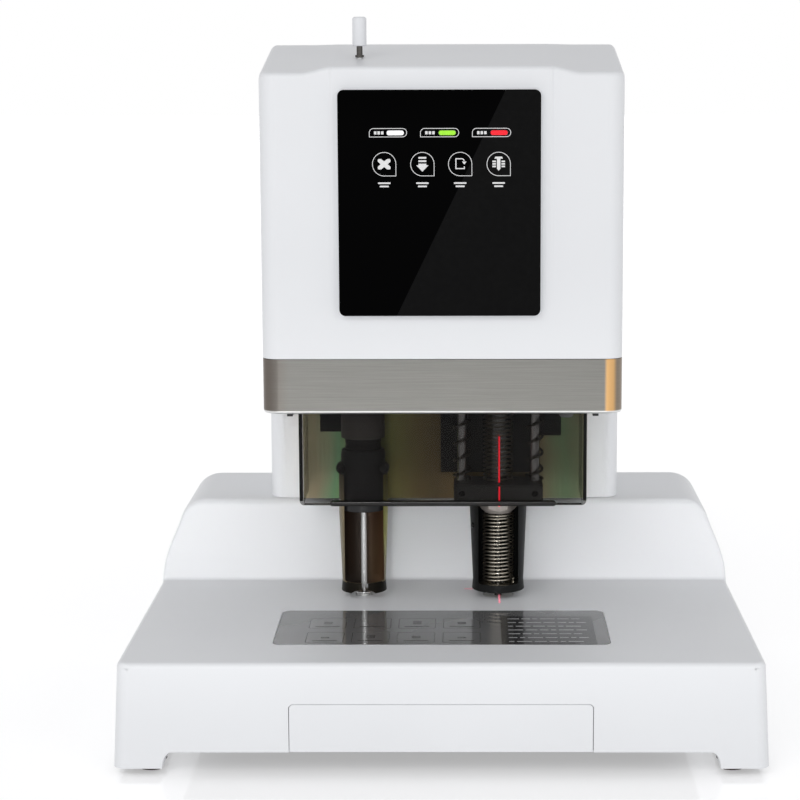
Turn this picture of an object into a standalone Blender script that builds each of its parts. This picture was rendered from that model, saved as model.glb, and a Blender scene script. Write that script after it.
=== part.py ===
"""Rivet binding machine for an office counter: drills a stack of paper and sets a hot rivet tube in the hole.

Metres, +Z up, front towards -Y. The origin is on the floor under the middle of the machine.
Left unit (-X): rivet head with its punch and needle. Right unit (+X): drill with its press foot.
"""

import math

import bmesh
import bpy
from mathutils import Matrix, Vector

# General fits
SEAT = 0.0003  # gap between pieces that touch
SLIDE_FIT = 0.0004  # gap on each side of a sliding piece
OVERRUN = 0.004  # how far a cutter runs past what it cuts

# Base housing
BASE_DEPTH = 0.350
DECK_WIDTH = 0.420
SKIRT_FLARE = 0.007
SKIRT_WIDTH = DECK_WIDTH + SKIRT_FLARE
DECK_HEIGHT = 0.076
SKIRT_GAP = 0.0055  # height of the legs above the floor
ARCH_HEIGHT = 0.0165
LEG_WIDTH = 0.029
ARCH_SWEEP = 0.015  # how far an end of the arch leans
ARCH_FOOT_WIDTH = DECK_WIDTH - 2 * LEG_WIDTH
ARCH_TOP_WIDTH = ARCH_FOOT_WIDTH - 2 * ARCH_SWEEP
BASE_WALL = 0.003
DECK_WALL = 0.004
BASE_CORNER = 0.008
DECK_EDGE = 0.0035
HUMP_HEIGHT = 0.134
HUMP_ROOM = 0.044  # from the tool axes back to the foot of the raised part
HUMP_LEAN = 0.016
HUMP_FOOT_FILLET = 0.003
HUMP_TOP_FILLET = 0.006
HUMP_CORNER = 0.018
HUMP_SIDE_LEAN = math.radians(15.1)
PASS_GAP = 0.0005  # round the post where it passes the base's roof

# Chassis pan and feet
PAN_BOTTOM = 0.0170
PAN_THICK = 0.0015
PAN_GAP = 0.0008
CUP_BOTTOM = 0.0062
CUP_LENGTH = 0.030
FOOT_TOP_RADIUS = 0.0095
FOOT_BOTTOM_RADIUS = 0.0082
FOOT_INSET_X = 0.0240
FOOT_INSET_Y = 0.0230

# Chip drawer
DRAWER_WIDTH = 0.197
DRAWER_FRONT_HEIGHT = 0.032
DRAWER_FRONT_THICK = 0.0028
TRAY_WIDTH = 0.184
TRAY_DEPTH = 0.218
TRAY_HEIGHT = 0.027
TRAY_WALL = 0.002
DRAWER_EDGE = 0.001
RUNNER_THICK = 0.0015
RUNNER_HEIGHT = 0.014
RUNNER_FOOT = 0.010

# Deck fittings
MAT_WIDTH = 0.225
MAT_DEPTH = 0.0895
MAT_MARGIN = 0.045  # from the front of the base
MAT_THICK = 0.0019
MAT_CORNER = 0.006
MAT_PROUD = 0.0002
AXIS_Y = 0.008  # both tool axes
FRAME_WIDTH = 0.206  # the steel frame that carries both tools
DRILL_SIDE = 0.0635  # from the right side of the frame to the drill's axis
RIVET_SIDE = 0.0455  # from its left side to the rivet axis
DRILL_X = FRAME_WIDTH / 2 - DRILL_SIDE
RIVET_X = RIVET_SIDE - FRAME_WIDTH / 2
PAD_RADIUS = 0.0107
PAD_THICK = 0.0059
PAD_BORE = 0.0035
TUBE_FLANGE_RADIUS = 0.015
TUBE_FLANGE_THICK = 0.005
TUBE_RADIUS = 0.007
TUBE_BORE = 0.0045
TUBE_LENGTH = 0.0215
ANVIL_RADIUS = 0.0057
ANVIL_CONE_RADIUS = 0.0050
ANVIL_TIP_RADIUS = 0.0033
ANVIL_CONE_HEIGHT = 0.0028
ANVIL_SHANK = 0.010
ANVIL_BORE = 0.0026
HEATER_SIDE = 0.030
HEATER_HEIGHT = 0.012

# Column and steel frame
FRAME_THICK = 0.003
FRAME_ROOM = 0.037  # from the tool axes back to the frame plate
FRAME_BOTTOM = 0.1393
FRAME_TOP = 0.420
COLUMN_SIDE_ROOM = 0.027  # on each side of the frame
COLUMN_WIDTH = FRAME_WIDTH + 2 * COLUMN_SIDE_ROOM
COLUMN_FRONT_Y = 0.072
COLUMN_INSET = 0.007  # from the rear of the base
COLUMN_REAR_ROOM = 0.018  # behind the frame
COLUMN_CORNER = 0.012
COLUMN_WALL = 0.003
COLUMN_RIM = 0.024
POST_FRONT_Y = 0.080
POST_TOP = 0.300

# Head
HEAD_SIDE_INSET = 0.0042  # the head is this much narrower than the column on each side
HEAD_WIDTH = COLUMN_WIDTH - 2 * HEAD_SIDE_INSET
HEAD_OVERHANG = 0.0396  # from the tool axes forward
HEAD_REAR_INSET = 0.003  # from the rear of the column
HEAD_BOTTOM = 0.215
BAND_HEIGHT = 0.0384
BAND_WALL = 0.002
BAND_EDGE = 0.0015
HEAD_CORNER = 0.012
HEAD_EDGE = 0.004
HEAD_WALL = 0.003
HEAD_FRONT_TOP = 0.4508
HEAD_REAR_DROP = 0.006
HEAD_CREST = 0.0192  # rise from the front edge to the crest
CREST_SHARE = 0.2  # how much less the raised band climbs to the crest
CREST_SETBACK = 0.079  # from the rear of the head
CREST_RADIUS = 0.006
RAISE_HEIGHT = 0.0042
RAISE_PROUD = 0.0010
RAISE_HALF_WIDTH = 0.0745
RAISE_SIDE = 0.0293  # flat left beside each shoulder
RAISE_SHOULDER = HEAD_WIDTH / 2 - RAISE_HALF_WIDTH - RAISE_SIDE
RAISE_FADE_Z = 0.275
FLOOR_THICK = 0.002
FLOOR_SIDE_GAP = 0.0025  # beside the frame
FLOOR_OPEN_HALF = FRAME_WIDTH / 2 + FLOOR_SIDE_GAP
FLOOR_MARGIN = 0.0056  # from the front of the head
FLOOR_REAR_GAP = 0.006  # behind the frame
BACK_COVER_SIDE = 0.0198  # from each side of the head
BACK_COVER_WIDTH = HEAD_WIDTH - 2 * BACK_COVER_SIDE
BACK_COVER_BOTTOM = 0.262
BACK_COVER_TOP = 0.440
BACK_COVER_CORNER = 0.006
VENT_WIDTH = 0.060
VENT_HEIGHT = 0.004
VENT_PITCH = 0.009
VENT_COUNT = 7

# Control panel
PANEL_WIDTH = 0.140
PANEL_HEIGHT = 0.156
PANEL_X = -0.0015
PANEL_BOTTOM = 0.284
PANEL_CORNER = 0.004
BEZEL_THICK = 0.0036
GLASS_THICK = 0.0014
GLASS_INSET = 0.0006
LAMP_WIDTH = 0.0115
LAMP_HEIGHT = 0.0030
LAMP_Z = 0.4102
LAMP_FIRST_X = -0.0315
LAMP_PITCH = 0.0354
BOARD_WIDTH = 0.110
BOARD_HEIGHT = 0.120
BOARD_THICK = 0.0016
BOARD_BOTTOM = 0.305

# Clear safety cover
COVER_SIDE_GAP = 0.001  # the cover is this much narrower than the frame on each side
COVER_WIDTH = FRAME_WIDTH - 2 * COVER_SIDE_GAP
COVER_FRONT_Y = -0.0176
COVER_REAR_GAP = 0.007  # from the frame plate
COVER_BOTTOM = 0.147
COVER_TOP = 0.221
COVER_SIDE_TOP = 0.212
COVER_WALL = 0.003
COVER_CORNER = 0.004
PIVOT_Y = -0.011
PIVOT_Z = 0.217
PIVOT_EAR = 0.006
PIN_RADIUS = 0.002
PIN_LENGTH = 0.0105
LUG_THICK = 0.004
LIP_LENGTH = 0.160
LIP_HEIGHT = 0.0036
LIP_ROUND_SHARE = 0.49  # of its height, at each end
LIP_DEPTH = 0.0045

# Drill carriage, its rails and lift
RAIL_WIDTH = 0.009
RAIL_DEPTH = 0.0044
RAIL_TOP = 0.400
DRILL_RAIL_BOTTOM = 0.164
DRILL_RAIL_WIDTH = 0.015
DRILL_RAIL_OFFSET = -0.0015  # from the drill's axis, as are the four below
CARRIAGE_LEFT_REACH = 0.0415
CARRIAGE_RIGHT_REACH = 0.0305
CARRIAGE_BOTTOM = 0.162
CARRIAGE_TOP = 0.272
CARRIAGE_PLATE = 0.011
EAR_REACH = 0.046
EAR_BOTTOM = 0.189
DRILL_SCREW_REACH = 0.0585
ARM_END = 0.010  # past the lift screw
ARM_BOTTOM = 0.242
ARM_TOP = 0.258
ARM_FRONT_Y = 0.014
SHELF_THICK = 0.010
SHELF_HALF_WIDTH = 0.0355
SHELF_FRONT_Y = -0.012
CAST_EDGE = 0.0012
ROD_RADIUS = 0.0035
ROD_OFFSET = 0.026
ROD_STOP_RADIUS = 0.0049
ROD_STOP_HEIGHT = 0.0022
SCREW_RADIUS = 0.004
SCREW_LENGTH = 0.134
SCREW_Y = 0.0235
LIFT_MOTOR_SIDE = 0.042
LIFT_MOTOR_HEIGHT = 0.040
LIFT_MOTOR_BOTTOM = 0.338
LIFT_MOTOR_EDGE = 0.003
DRILL_MOTOR_RADIUS = 0.0215
DRILL_MOTOR_HEIGHT = 0.064
MOTOR_BOSS_RADIUS = 0.010
MOTOR_BOSS_HEIGHT = 0.004
MOTOR_CAP_RADIUS = 0.015
MOTOR_CAP_HEIGHT = 0.006

# Spindle and drill
SPINDLE_RADIUS = 0.0058
SPINDLE_COLLAR_RADIUS = 0.0085
SPINDLE_END = 0.1385
CHUCK_BORE = 0.0028
CHUCK_DEPTH = 0.018
BIT_RADIUS = 0.0025
BIT_BORE = 0.0016
BIT_TIP = 0.0725

# Press foot
FOOT_BLOCK_BOTTOM = 0.147
FOOT_BLOCK_HEIGHT = 0.013
FOOT_BLOCK_HALF_WIDTH = 0.0318
FOOT_BLOCK_FRONT_Y = -0.0105
FOOT_BLOCK_REAR_Y = 0.0245
NUT_FLATS = 0.024
NUT_BOTTOM = 0.137
NUT_BORE = 0.0066
NUT_CHAMFER = 0.0022
GUARD_BOTTOM = 0.081
GUARD_TOP_RADIUS = 0.0206
GUARD_NECK_RADIUS = 0.0182
GUARD_FOOT_RADIUS = 0.0189
GUARD_NECK_Z = 0.088
GUARD_WALL = 0.0015
WINDOW_HALF_WIDTH = 0.0143
SILL_TOP = 0.0865
SILL_THICK = 0.003
SILL_BORE = 0.0070

# Springs: wire radius, coil radius to the wire's middle, curls
MAIN_WIRE = 0.0007
MAIN_COIL = 0.0103
MAIN_CURLS = 32
ROD_WIRE = 0.0010
ROD_COIL = 0.0058
ROD_CURLS = 9
CHIP_WIRE = 0.00065
CHIP_COIL = 0.0084
CHIP_CURLS = 19
POINTS_PER_CURL = 8

# Rivet head
RIVET_RAIL_OFFSET = -0.0085  # from the rivet axis, as are the four below
RIVET_RAIL_BOTTOM = 0.194
RIVET_PLATE_LEFT_REACH = 0.0321
RIVET_PLATE_RIGHT_REACH = 0.0135
CLAMP_REACH = 0.019
RIVET_SCREW_REACH = 0.0375
RIVET_PLATE_BOTTOM = 0.192
RIVET_PLATE_TOP = 0.262
CLAMP_BOTTOM = 0.236
CLAMP_TOP = 0.250
CLAMP_END = 0.011  # past the lift screw
CLAMP_FRONT_Y = -0.011
CYLINDER_RADIUS = 0.0156
CYLINDER_BOTTOM = 0.192
CYLINDER_TOP = 0.300
COLLAR_RADIUS = 0.0130
COLLAR_BOTTOM = 0.1837
PLUNGER_RADIUS = 0.0110
PLUNGER_BOTTOM = 0.196
PLUNGER_TOP = 0.262
PUNCH_RADIUS = 0.0055
PUNCH_BOTTOM = 0.1415
SLEEVE_RADIUS = 0.0159
SLEEVE_BORE = 0.0125
SLEEVE_BOTTOM = 0.1395
LUG_RADIUS = 0.0040
LUG_OFFSET = 0.0150
LUG_Z = 0.171
LUG_FRONT_Y = -0.004
LUG_DEPTH = 0.008
CLAMP_SCREW_RADIUS = 0.0016
CLAMP_SCREW_HEAD_RADIUS = 0.0028
CLAMP_SCREW_HEAD = 0.0020
CLAMP_SCREW_LENGTH = 0.006
CHEEK_TOP = 0.1655
CHEEK_SHOULDER_Z = 0.138
CHEEK_TOP_RADIUS = 0.0176
CHEEK_NECK_RADIUS = 0.0157
CHEEK_FOOT_RADIUS = 0.0163
CHEEK_NECK_Z = 0.088
CHEEK_BOTTOM = 0.0798
CHEEK_SILL_TOP = 0.0877
CHEEK_WALL = 0.0010
CHEEK_OPENING = math.radians(52)
NOTCH_HALF_WIDTH = 0.0088
NOTCH_HEIGHT = 0.0034
NOTCH_SLOT_HALF_WIDTH = 0.0026

# Needle and knob
NEEDLE_RADIUS = 0.0021
NEEDLE_BORE_RADIUS = 0.0027
NEEDLE_TIP_RADIUS = 0.0009
NEEDLE_TAPER = 0.014
NEEDLE_END = 0.0775
NEEDLE_TOP = 0.4745
NEEDLE_COLLAR_RADIUS = 0.0031
NEEDLE_COLLAR_Z = 0.4610
NEEDLE_COLLAR_HEIGHT = 0.0016
KNOB_RADIUS = 0.00495
KNOB_BOTTOM = 0.4687
KNOB_TOP = 0.4889
KNOB_EDGE = 0.0012
KNOB_BORE_DEPTH = 0.0062

# Laser marker
LASER_REACH = 0.0485  # from the drill's axis
LASER_Y = 0.004
LASER_RADIUS = 0.005
LASER_BOTTOM = 0.207
LASER_LENGTH = 0.032
LASER_ARM_HALF = 0.007

# Mains entry
ENTRY_INSET = 0.065  # its middle from the side of the base
ENTRY_WIDTH = 0.058
ENTRY_HEIGHT = 0.028
ENTRY_DEPTH = 0.024
ENTRY_Z = 0.048
SOCKET_WIDTH = 0.024
SOCKET_HEIGHT = 0.018
SOCKET_DEPTH = 0.016
SOCKET_OFFSET = -0.0125
SOCKET_PIN_WIDTH = 0.002
SOCKET_PIN_HEIGHT = 0.004
SOCKET_PIN_PITCH = 0.007
ROCKER_OFFSET = 0.017
ROCKER_WIDTH = 0.014
ROCKER_REACH = 0.0090
ROCKER_HALF_HEIGHT = 0.0074
ROCKER_PROUD = 0.0045
ROCKER_VALLEY = 0.0036
ROCKER_BACK = 0.003
ROCKER_TILT = math.radians(7)
ROCKER_AXIS_INSET = 0.0065
SUPPLY_SIDE_ROOM = 0.0095
SUPPLY_REAR_ROOM = 0.009
SUPPLY_DEPTH = 0.075
SUPPLY_HEIGHT = 0.042

ARC_STEPS = 4
ROUND = 28
SMALL_ROUND = 16
CHEEK_ROUND = 40

# Places that follow from the sizes above
HALF_DEPTH = BASE_DEPTH / 2
PAN_TOP = PAN_BOTTOM + PAN_THICK
HUMP_FOOT_Y = AXIS_Y + HUMP_ROOM
MAT_FRONT_Y = MAT_MARGIN - HALF_DEPTH
FRAME_FRONT_Y = AXIS_Y + FRAME_ROOM
COLUMN_REAR_Y = HALF_DEPTH - COLUMN_INSET
FRAME_REAR_Y = COLUMN_REAR_Y - COLUMN_REAR_ROOM
HEAD_FRONT_Y = AXIS_Y - HEAD_OVERHANG
HEAD_REAR_Y = COLUMN_REAR_Y - HEAD_REAR_INSET
HEAD_CREST_Y = HEAD_REAR_Y - CREST_SETBACK
FLOOR_OPEN_FRONT = HEAD_FRONT_Y + FLOOR_MARGIN
FLOOR_OPEN_REAR = FRAME_REAR_Y + FLOOR_REAR_GAP
COVER_REAR_Y = FRAME_FRONT_Y - COVER_REAR_GAP
DRILL_RAIL_X = DRILL_X + DRILL_RAIL_OFFSET
CARRIAGE_LEFT = DRILL_X - CARRIAGE_LEFT_REACH
CARRIAGE_RIGHT = DRILL_X + CARRIAGE_RIGHT_REACH
EAR_RIGHT = DRILL_X + EAR_REACH
DRILL_SCREW_X = DRILL_X + DRILL_SCREW_REACH
ARM_RIGHT = DRILL_SCREW_X + ARM_END
LASER_X = DRILL_X + LASER_REACH
RIVET_RAIL_X = RIVET_X + RIVET_RAIL_OFFSET
RIVET_PLATE_LEFT = RIVET_X - RIVET_PLATE_LEFT_REACH
RIVET_PLATE_RIGHT = RIVET_X + RIVET_PLATE_RIGHT_REACH
RIVET_SCREW_X = RIVET_X - RIVET_SCREW_REACH
CLAMP_LEFT = RIVET_SCREW_X - CLAMP_END
CLAMP_RIGHT = RIVET_X + CLAMP_REACH
ENTRY_X = ENTRY_INSET - DECK_WIDTH / 2
SUPPLY_LEFT = BASE_WALL + SUPPLY_SIDE_ROOM - DECK_WIDTH / 2
SUPPLY_RIGHT = -FRAME_WIDTH / 2 - SUPPLY_SIDE_ROOM
SUPPLY_REAR_Y = HALF_DEPTH - ENTRY_DEPTH - SUPPLY_REAR_ROOM
MATERIALS = {}


def material(name, colour, roughness, metallic=0.0):
    """A Principled material, made once for each name."""
    if name not in MATERIALS:
        made = bpy.data.materials.new(name)
        made.use_nodes = True
        shader = made.node_tree.nodes["Principled BSDF"]
        shader.inputs["Base Color"].default_value = (*colour, 1.0)
        shader.inputs["Roughness"].default_value = roughness
        shader.inputs["Metallic"].default_value = metallic
        MATERIALS[name] = made
    return MATERIALS[name]


def white_plastic():
    return material("white_plastic", (0.84, 0.85, 0.86), 0.42)


def black_plastic():
    return material("black_plastic", (0.02, 0.02, 0.022), 0.4)


def grey_plastic():
    return material("grey_plastic", (0.16, 0.16, 0.17), 0.5)


def smoked_plastic():
    return material("smoked_plastic", (0.10, 0.11, 0.11), 0.08)


def brushed_steel():
    return material("brushed_steel", (0.42, 0.41, 0.39), 0.35, 1.0)


def bright_steel():
    return material("bright_steel", (0.72, 0.72, 0.72), 0.18, 1.0)


def zinc_plate():
    return material("zinc_plate", (0.55, 0.47, 0.26), 0.35, 1.0)


def dark_steel():
    return material("dark_steel", (0.07, 0.07, 0.075), 0.35, 0.8)


def rubber():
    return material("rubber", (0.03, 0.02, 0.02), 0.8)


def nylon():
    return material("nylon", (0.85, 0.85, 0.82), 0.5)


def black_glass():
    return material("black_glass", (0.004, 0.004, 0.005), 0.05)


def lamp_plastic(name, colour):
    return material(name, colour, 0.3)


def board_green():
    return material("board_green", (0.03, 0.16, 0.07), 0.5)


def mesh_object(name, bm, finish, smooth=True):
    """A mesh object from a bmesh in world coordinates."""
    bmesh.ops.recalc_face_normals(bm, faces=bm.faces)
    mesh = bpy.data.meshes.new(name)
    bm.to_mesh(mesh)
    bm.free()
    obj = bpy.data.objects.new(name, mesh)
    bpy.context.scene.collection.objects.link(obj)
    if finish is not None:
        mesh.materials.append(finish)
    if smooth:
        mesh.shade_smooth()
        mesh.set_sharp_from_angle(angle=math.radians(32))
    return obj


def loft(name, rings, finish, close_rings=False, smooth=True):
    """Skin through rings of points. Open stacks get a cap at each end, closed ones meet their start."""
    bm = bmesh.new()
    loops = [[bm.verts.new(point) for point in ring] for ring in rings]
    pairs = list(zip(loops, loops[1:]))
    if close_rings:
        pairs.append((loops[-1], loops[0]))
    for lower, upper in pairs:
        for i in range(len(lower)):
            j = (i + 1) % len(lower)
            bm.faces.new((lower[i], lower[j], upper[j], upper[i]))
    if not close_rings:
        bm.faces.new(loops[0])
        bm.faces.new(loops[-1])
    return mesh_object(name, bm, finish, smooth)


def turned(name, profile, centre, finish, steps=ROUND, axis="Z"):
    """A turned piece from (radius, height) pairs, closed on the axis or, for a tube, on itself."""
    solid = profile[0][0] == 0
    bm = bmesh.new()
    columns = []
    for k in range(steps):
        turn = 2 * math.pi * k / steps
        column = []
        for radius, height in profile:
            if radius == 0 and columns:
                column.append(columns[0][len(column)])
                continue
            flat = (radius * math.cos(turn), radius * math.sin(turn), height)
            if axis == "X":
                flat = (flat[2], flat[0], flat[1])
            elif axis == "Y":
                flat = (flat[0], flat[2], flat[1])
            column.append(bm.verts.new(Vector(flat) + Vector(centre)))
        columns.append(column)
    count = len(profile)
    for k in range(steps):
        here, there = columns[k], columns[(k + 1) % steps]
        for i in range(count if not solid else count - 1):
            j = (i + 1) % count
            corners = []
            for vert in (here[i], here[j], there[j], there[i]):
                if vert not in corners:
                    corners.append(vert)
            if len(corners) > 2:
                bm.faces.new(corners)
    return mesh_object(name, bm, finish)


def arc(centre, radius, start, end, steps=ARC_STEPS):
    """Points of an arc in a plane, both ends included."""
    return [
        (
            centre[0] + radius * math.cos(start + (end - start) * k / steps),
            centre[1] + radius * math.sin(start + (end - start) * k / steps),
        )
        for k in range(steps + 1)
    ]


def rounded_rectangle(low, high, radius, steps=ARC_STEPS):
    """Outline of a rectangle with round corners, counter-clockwise."""
    quarter = math.pi / 2
    corners = (
        ((high[0] - radius, high[1] - radius), 0),
        ((low[0] + radius, high[1] - radius), 1),
        ((low[0] + radius, low[1] + radius), 2),
        ((high[0] - radius, low[1] + radius), 3),
    )
    points = []
    for centre, turn in corners:
        points += arc(centre, radius, turn * quarter, (turn + 1) * quarter, steps)
    return points


def slab(name, outline, low, high, finish, axis="Z"):
    """An outline pushed from low to high along an axis."""
    rings = []
    for level in (low, high):
        if axis == "Z":
            rings.append([(x, y, level) for x, y in outline])
        elif axis == "Y":
            rings.append([(x, level, z) for x, z in outline])
        else:
            rings.append([(level, y, z) for y, z in outline])
    return loft(name, rings, finish)


def box(name, low, high, finish, edge=0.0):
    """A box between two corners, with its edges bevelled if edge is given."""
    bm = bmesh.new()
    size = [b - a for a, b in zip(low, high)]
    middle = [(a + b) / 2 for a, b in zip(low, high)]
    place = Matrix.Translation(middle) @ Matrix.Diagonal((*size, 1))
    bmesh.ops.create_cube(bm, size=1, matrix=place)
    if edge:
        bmesh.ops.bevel(
            bm, geom=bm.edges[:], offset=edge, offset_type="OFFSET", segments=1, affect="EDGES"
        )
    return mesh_object(name, bm, finish, smooth=False)


def as_cutter(obj):
    obj.hide_render = True
    obj.display_type = "WIRE"
    return obj


def combine(obj, others, operation):
    for other in others:
        as_cutter(other)
        step = obj.modifiers.new(operation.lower() + "_" + other.name, "BOOLEAN")
        step.operation = operation
        step.solver = "EXACT"
        step.object = other
    return obj


def cut(obj, *cutters):
    return combine(obj, cutters, "DIFFERENCE")


def fuse(obj, *others):
    return combine(obj, others, "UNION")


def smooth_step(value):
    value = min(1.0, max(0.0, value))
    return value * value * (3 - 2 * value)


def corner_inset(distance, radius):
    """How far a round corner draws in, at a distance from the end that it turns into."""
    if distance >= radius:
        return 0.0
    rest = radius - max(distance, 0.0)
    return radius - math.sqrt(radius * radius - rest * rest)


def corner_stations(radius, steps=ARC_STEPS):
    """Distances from the end at which a round corner is sampled."""
    return [radius * (1 - math.cos(math.pi / 2 * k / steps)) for k in range(steps + 1)]


def carrier(name, place):
    """An empty on a joint's axis, which carries the pieces that move on that joint."""
    empty = bpy.data.objects.new(name, None)
    empty.location = place
    bpy.context.scene.collection.objects.link(empty)
    return empty


def carry(empty, *objects, parent=None):
    place = Matrix.Translation(empty.location)
    for obj in objects:
        obj.parent = empty
        obj.matrix_parent_inverse = place.inverted()
    if parent is not None:
        empty.parent = parent
        empty.matrix_parent_inverse = Matrix.Translation(parent.location).inverted()


# Base housing


def hump_wall(foot_y, deck, top):
    """Points (y, height) up the leaning wall between the deck and the raised rear part."""
    lean = math.atan2(HUMP_LEAN, HUMP_HEIGHT - DECK_HEIGHT)
    slope = math.pi / 2 - lean
    foot_run = HUMP_FOOT_FILLET * math.tan(slope / 2)
    top_run = HUMP_TOP_FILLET * math.tan(slope / 2)
    top_y = foot_y + (top - deck) * math.tan(lean)
    foot_centre = (foot_y - foot_run, deck + HUMP_FOOT_FILLET)
    top_centre = (top_y + top_run, top - HUMP_TOP_FILLET)
    points = arc(foot_centre, HUMP_FOOT_FILLET, -math.pi / 2, -lean, 3)
    points += arc(top_centre, HUMP_TOP_FILLET, math.pi - lean, math.pi / 2, 4)
    return points


def base_section(y, height, raised, inset, floor, skin):
    """One cross-section of the base: its sides, its corner arcs and its flat top."""
    corner = DECK_EDGE + (HUMP_CORNER - DECK_EDGE) * raised
    draft = math.atan2((SKIRT_WIDTH - DECK_WIDTH) / 2, DECK_HEIGHT - SKIRT_GAP)
    lean = draft + (HUMP_SIDE_LEAN - draft) * raised
    half_deck = DECK_WIDTH / 2 - inset - skin
    half_floor = half_deck + (DECK_HEIGHT - floor) * math.tan(draft)
    start = DECK_HEIGHT - DECK_EDGE - skin
    corner = max(corner - skin, DECK_EDGE / 2)
    run = (height - corner + corner * math.sin(lean) - start) / math.cos(lean)
    centre_x = half_deck - run * math.sin(lean) - corner * math.cos(lean)
    right = [(half_floor, floor), (half_deck, start)]
    right += arc((centre_x, height - corner), corner, lean, math.pi / 2, 5)
    left = [(-x, z) for x, z in reversed(right)]
    return [(x, y, z) for x, z in right + left]


def base_rings(skin, roof_skin, floor):
    """Cross-sections from the front to the rear; skin is how far inside the outer surface they lie."""
    lean = math.atan2(HUMP_LEAN, HUMP_HEIGHT - DECK_HEIGHT)
    deck, top = DECK_HEIGHT - roof_skin, HUMP_HEIGHT - skin
    foot_y = HUMP_FOOT_Y + skin / math.cos(lean) - roof_skin * math.tan(lean)
    corner = BASE_CORNER - skin
    end = HALF_DEPTH - skin
    rings = []
    for distance in corner_stations(corner):
        inset = corner_inset(distance, corner)
        drop = corner_inset(distance, DECK_EDGE) if skin == 0 else 0.0
        rings.append(base_section(-end + distance, deck - drop, 0.0, inset, floor, skin))
    for y, height in hump_wall(foot_y, deck, top):
        raised = smooth_step((height - deck) / (top - deck))
        rings.append(base_section(y, height, raised, 0.0, floor, skin))
    for distance in reversed(corner_stations(corner)):
        inset = corner_inset(distance, corner)
        drop = corner_inset(distance, DECK_EDGE) if skin == 0 else 0.0
        rings.append(base_section(end - distance, top - drop, 1.0, inset, floor, skin))
    return rings


def arch_outline():
    """The opening under the skirt between the legs, with S-shaped ends."""
    steps = 6
    points = []
    for side in (1, -1):
        run = []
        for k in range(steps + 1):
            share = k / steps
            half = ARCH_FOOT_WIDTH / 2 + (ARCH_TOP_WIDTH - ARCH_FOOT_WIDTH) / 2 * share
            rise = SKIRT_GAP + (ARCH_HEIGHT - SKIRT_GAP) * smooth_step(share)
            run.append((side * half, rise))
        floor = (side * ARCH_FOOT_WIDTH / 2, SKIRT_GAP - OVERRUN)
        points += [floor] + run if side > 0 else run[::-1] + [floor]
    return points


def build_base():
    shell = loft("base_shell", base_rings(0.0, 0.0, SKIRT_GAP), white_plastic())
    hollow = loft("base_hollow", base_rings(BASE_WALL, DECK_WALL, SKIRT_GAP - OVERRUN), None)
    arch = slab("arch_cutter", arch_outline(), -HALF_DEPTH - OVERRUN, HALF_DEPTH + OVERRUN, None, "Y")
    half, slot_top = DRAWER_WIDTH / 2 + SEAT, ARCH_HEIGHT + DRAWER_FRONT_HEIGHT + SEAT
    slot = box(
        "drawer_slot_cutter",
        (-half, -HALF_DEPTH - OVERRUN, SKIRT_GAP),
        (half, -HALF_DEPTH + BASE_WALL + OVERRUN, slot_top),
        None,
    )
    pocket = slab(
        "mat_pocket_cutter",
        rounded_rectangle(
            (-MAT_WIDTH / 2 - SEAT, MAT_FRONT_Y - SEAT),
            (MAT_WIDTH / 2 + SEAT, MAT_FRONT_Y + MAT_DEPTH + SEAT),
            MAT_CORNER,
        ),
        DECK_HEIGHT + MAT_PROUD - MAT_THICK - SEAT,
        DECK_HEIGHT + OVERRUN,
        None,
    )
    deck_low, deck_high = DECK_HEIGHT - DECK_WALL - OVERRUN, DECK_HEIGHT + OVERRUN
    drill_hole = post("pad_hole_cutter", PAD_RADIUS + SEAT, (DRILL_X, AXIS_Y), deck_low, deck_high, None)
    rivet_hole = post("anvil_hole_cutter", ANVIL_RADIUS + SEAT, (RIVET_X, AXIS_Y), deck_low, deck_high, None)
    half, front, rear = post_plan()
    post_hole = box(
        "post_hole_cutter",
        (-half - PASS_GAP, front - PASS_GAP, HUMP_HEIGHT - BASE_WALL - OVERRUN),
        (half + PASS_GAP, rear + PASS_GAP, HUMP_HEIGHT + OVERRUN),
        None,
    )
    half, rise = ENTRY_WIDTH / 2 + SEAT, ENTRY_HEIGHT / 2 + SEAT
    entry_hole = box(
        "entry_hole_cutter",
        (ENTRY_X - half, HALF_DEPTH - BASE_WALL - OVERRUN, ENTRY_Z - rise),
        (ENTRY_X + half, HALF_DEPTH + OVERRUN, ENTRY_Z + rise),
        None,
    )
    cut(shell, hollow, arch, slot, pocket, drill_hole, rivet_hole, post_hole, entry_hole)


def post_plan():
    """Half width, front and rear of the steel post."""
    return FRAME_WIDTH / 2 - FRAME_THICK - SEAT, POST_FRONT_Y, FRAME_REAR_Y + SEAT


def post(name, radius, centre, low, high, finish, steps=ROUND):
    """A plain upright cylinder."""
    profile = ((0, low), (radius, low), (radius, high), (0, high))
    return turned(name, profile, (centre[0], centre[1], 0), finish, steps)


def foot_places():
    x = ARCH_FOOT_WIDTH / 2 + FOOT_TOP_RADIUS
    y = HALF_DEPTH - FOOT_INSET_Y
    return {
        "front_left": (-x, -y),
        "front_right": (x, -y),
        "rear_left": (-x, y),
        "rear_right": (x, y),
    }


def runner_angles():
    """An upright flange on each side of the tray, pressed from the pan."""
    start = -HALF_DEPTH + BASE_WALL + RUNNER_FOOT / 2
    end = -HALF_DEPTH + TRAY_DEPTH
    angles = []
    for side in (-1, 1):
        inner = TRAY_WIDTH / 2 + SEAT
        low, high = sorted((side * inner, side * (inner + RUNNER_THICK)))
        foot, top = PAN_BOTTOM + PAN_THICK / 2, PAN_TOP + RUNNER_HEIGHT
        angles.append(box(f"runner_{side}", (low, start, foot), (high, end, top), None))
    return angles


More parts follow.
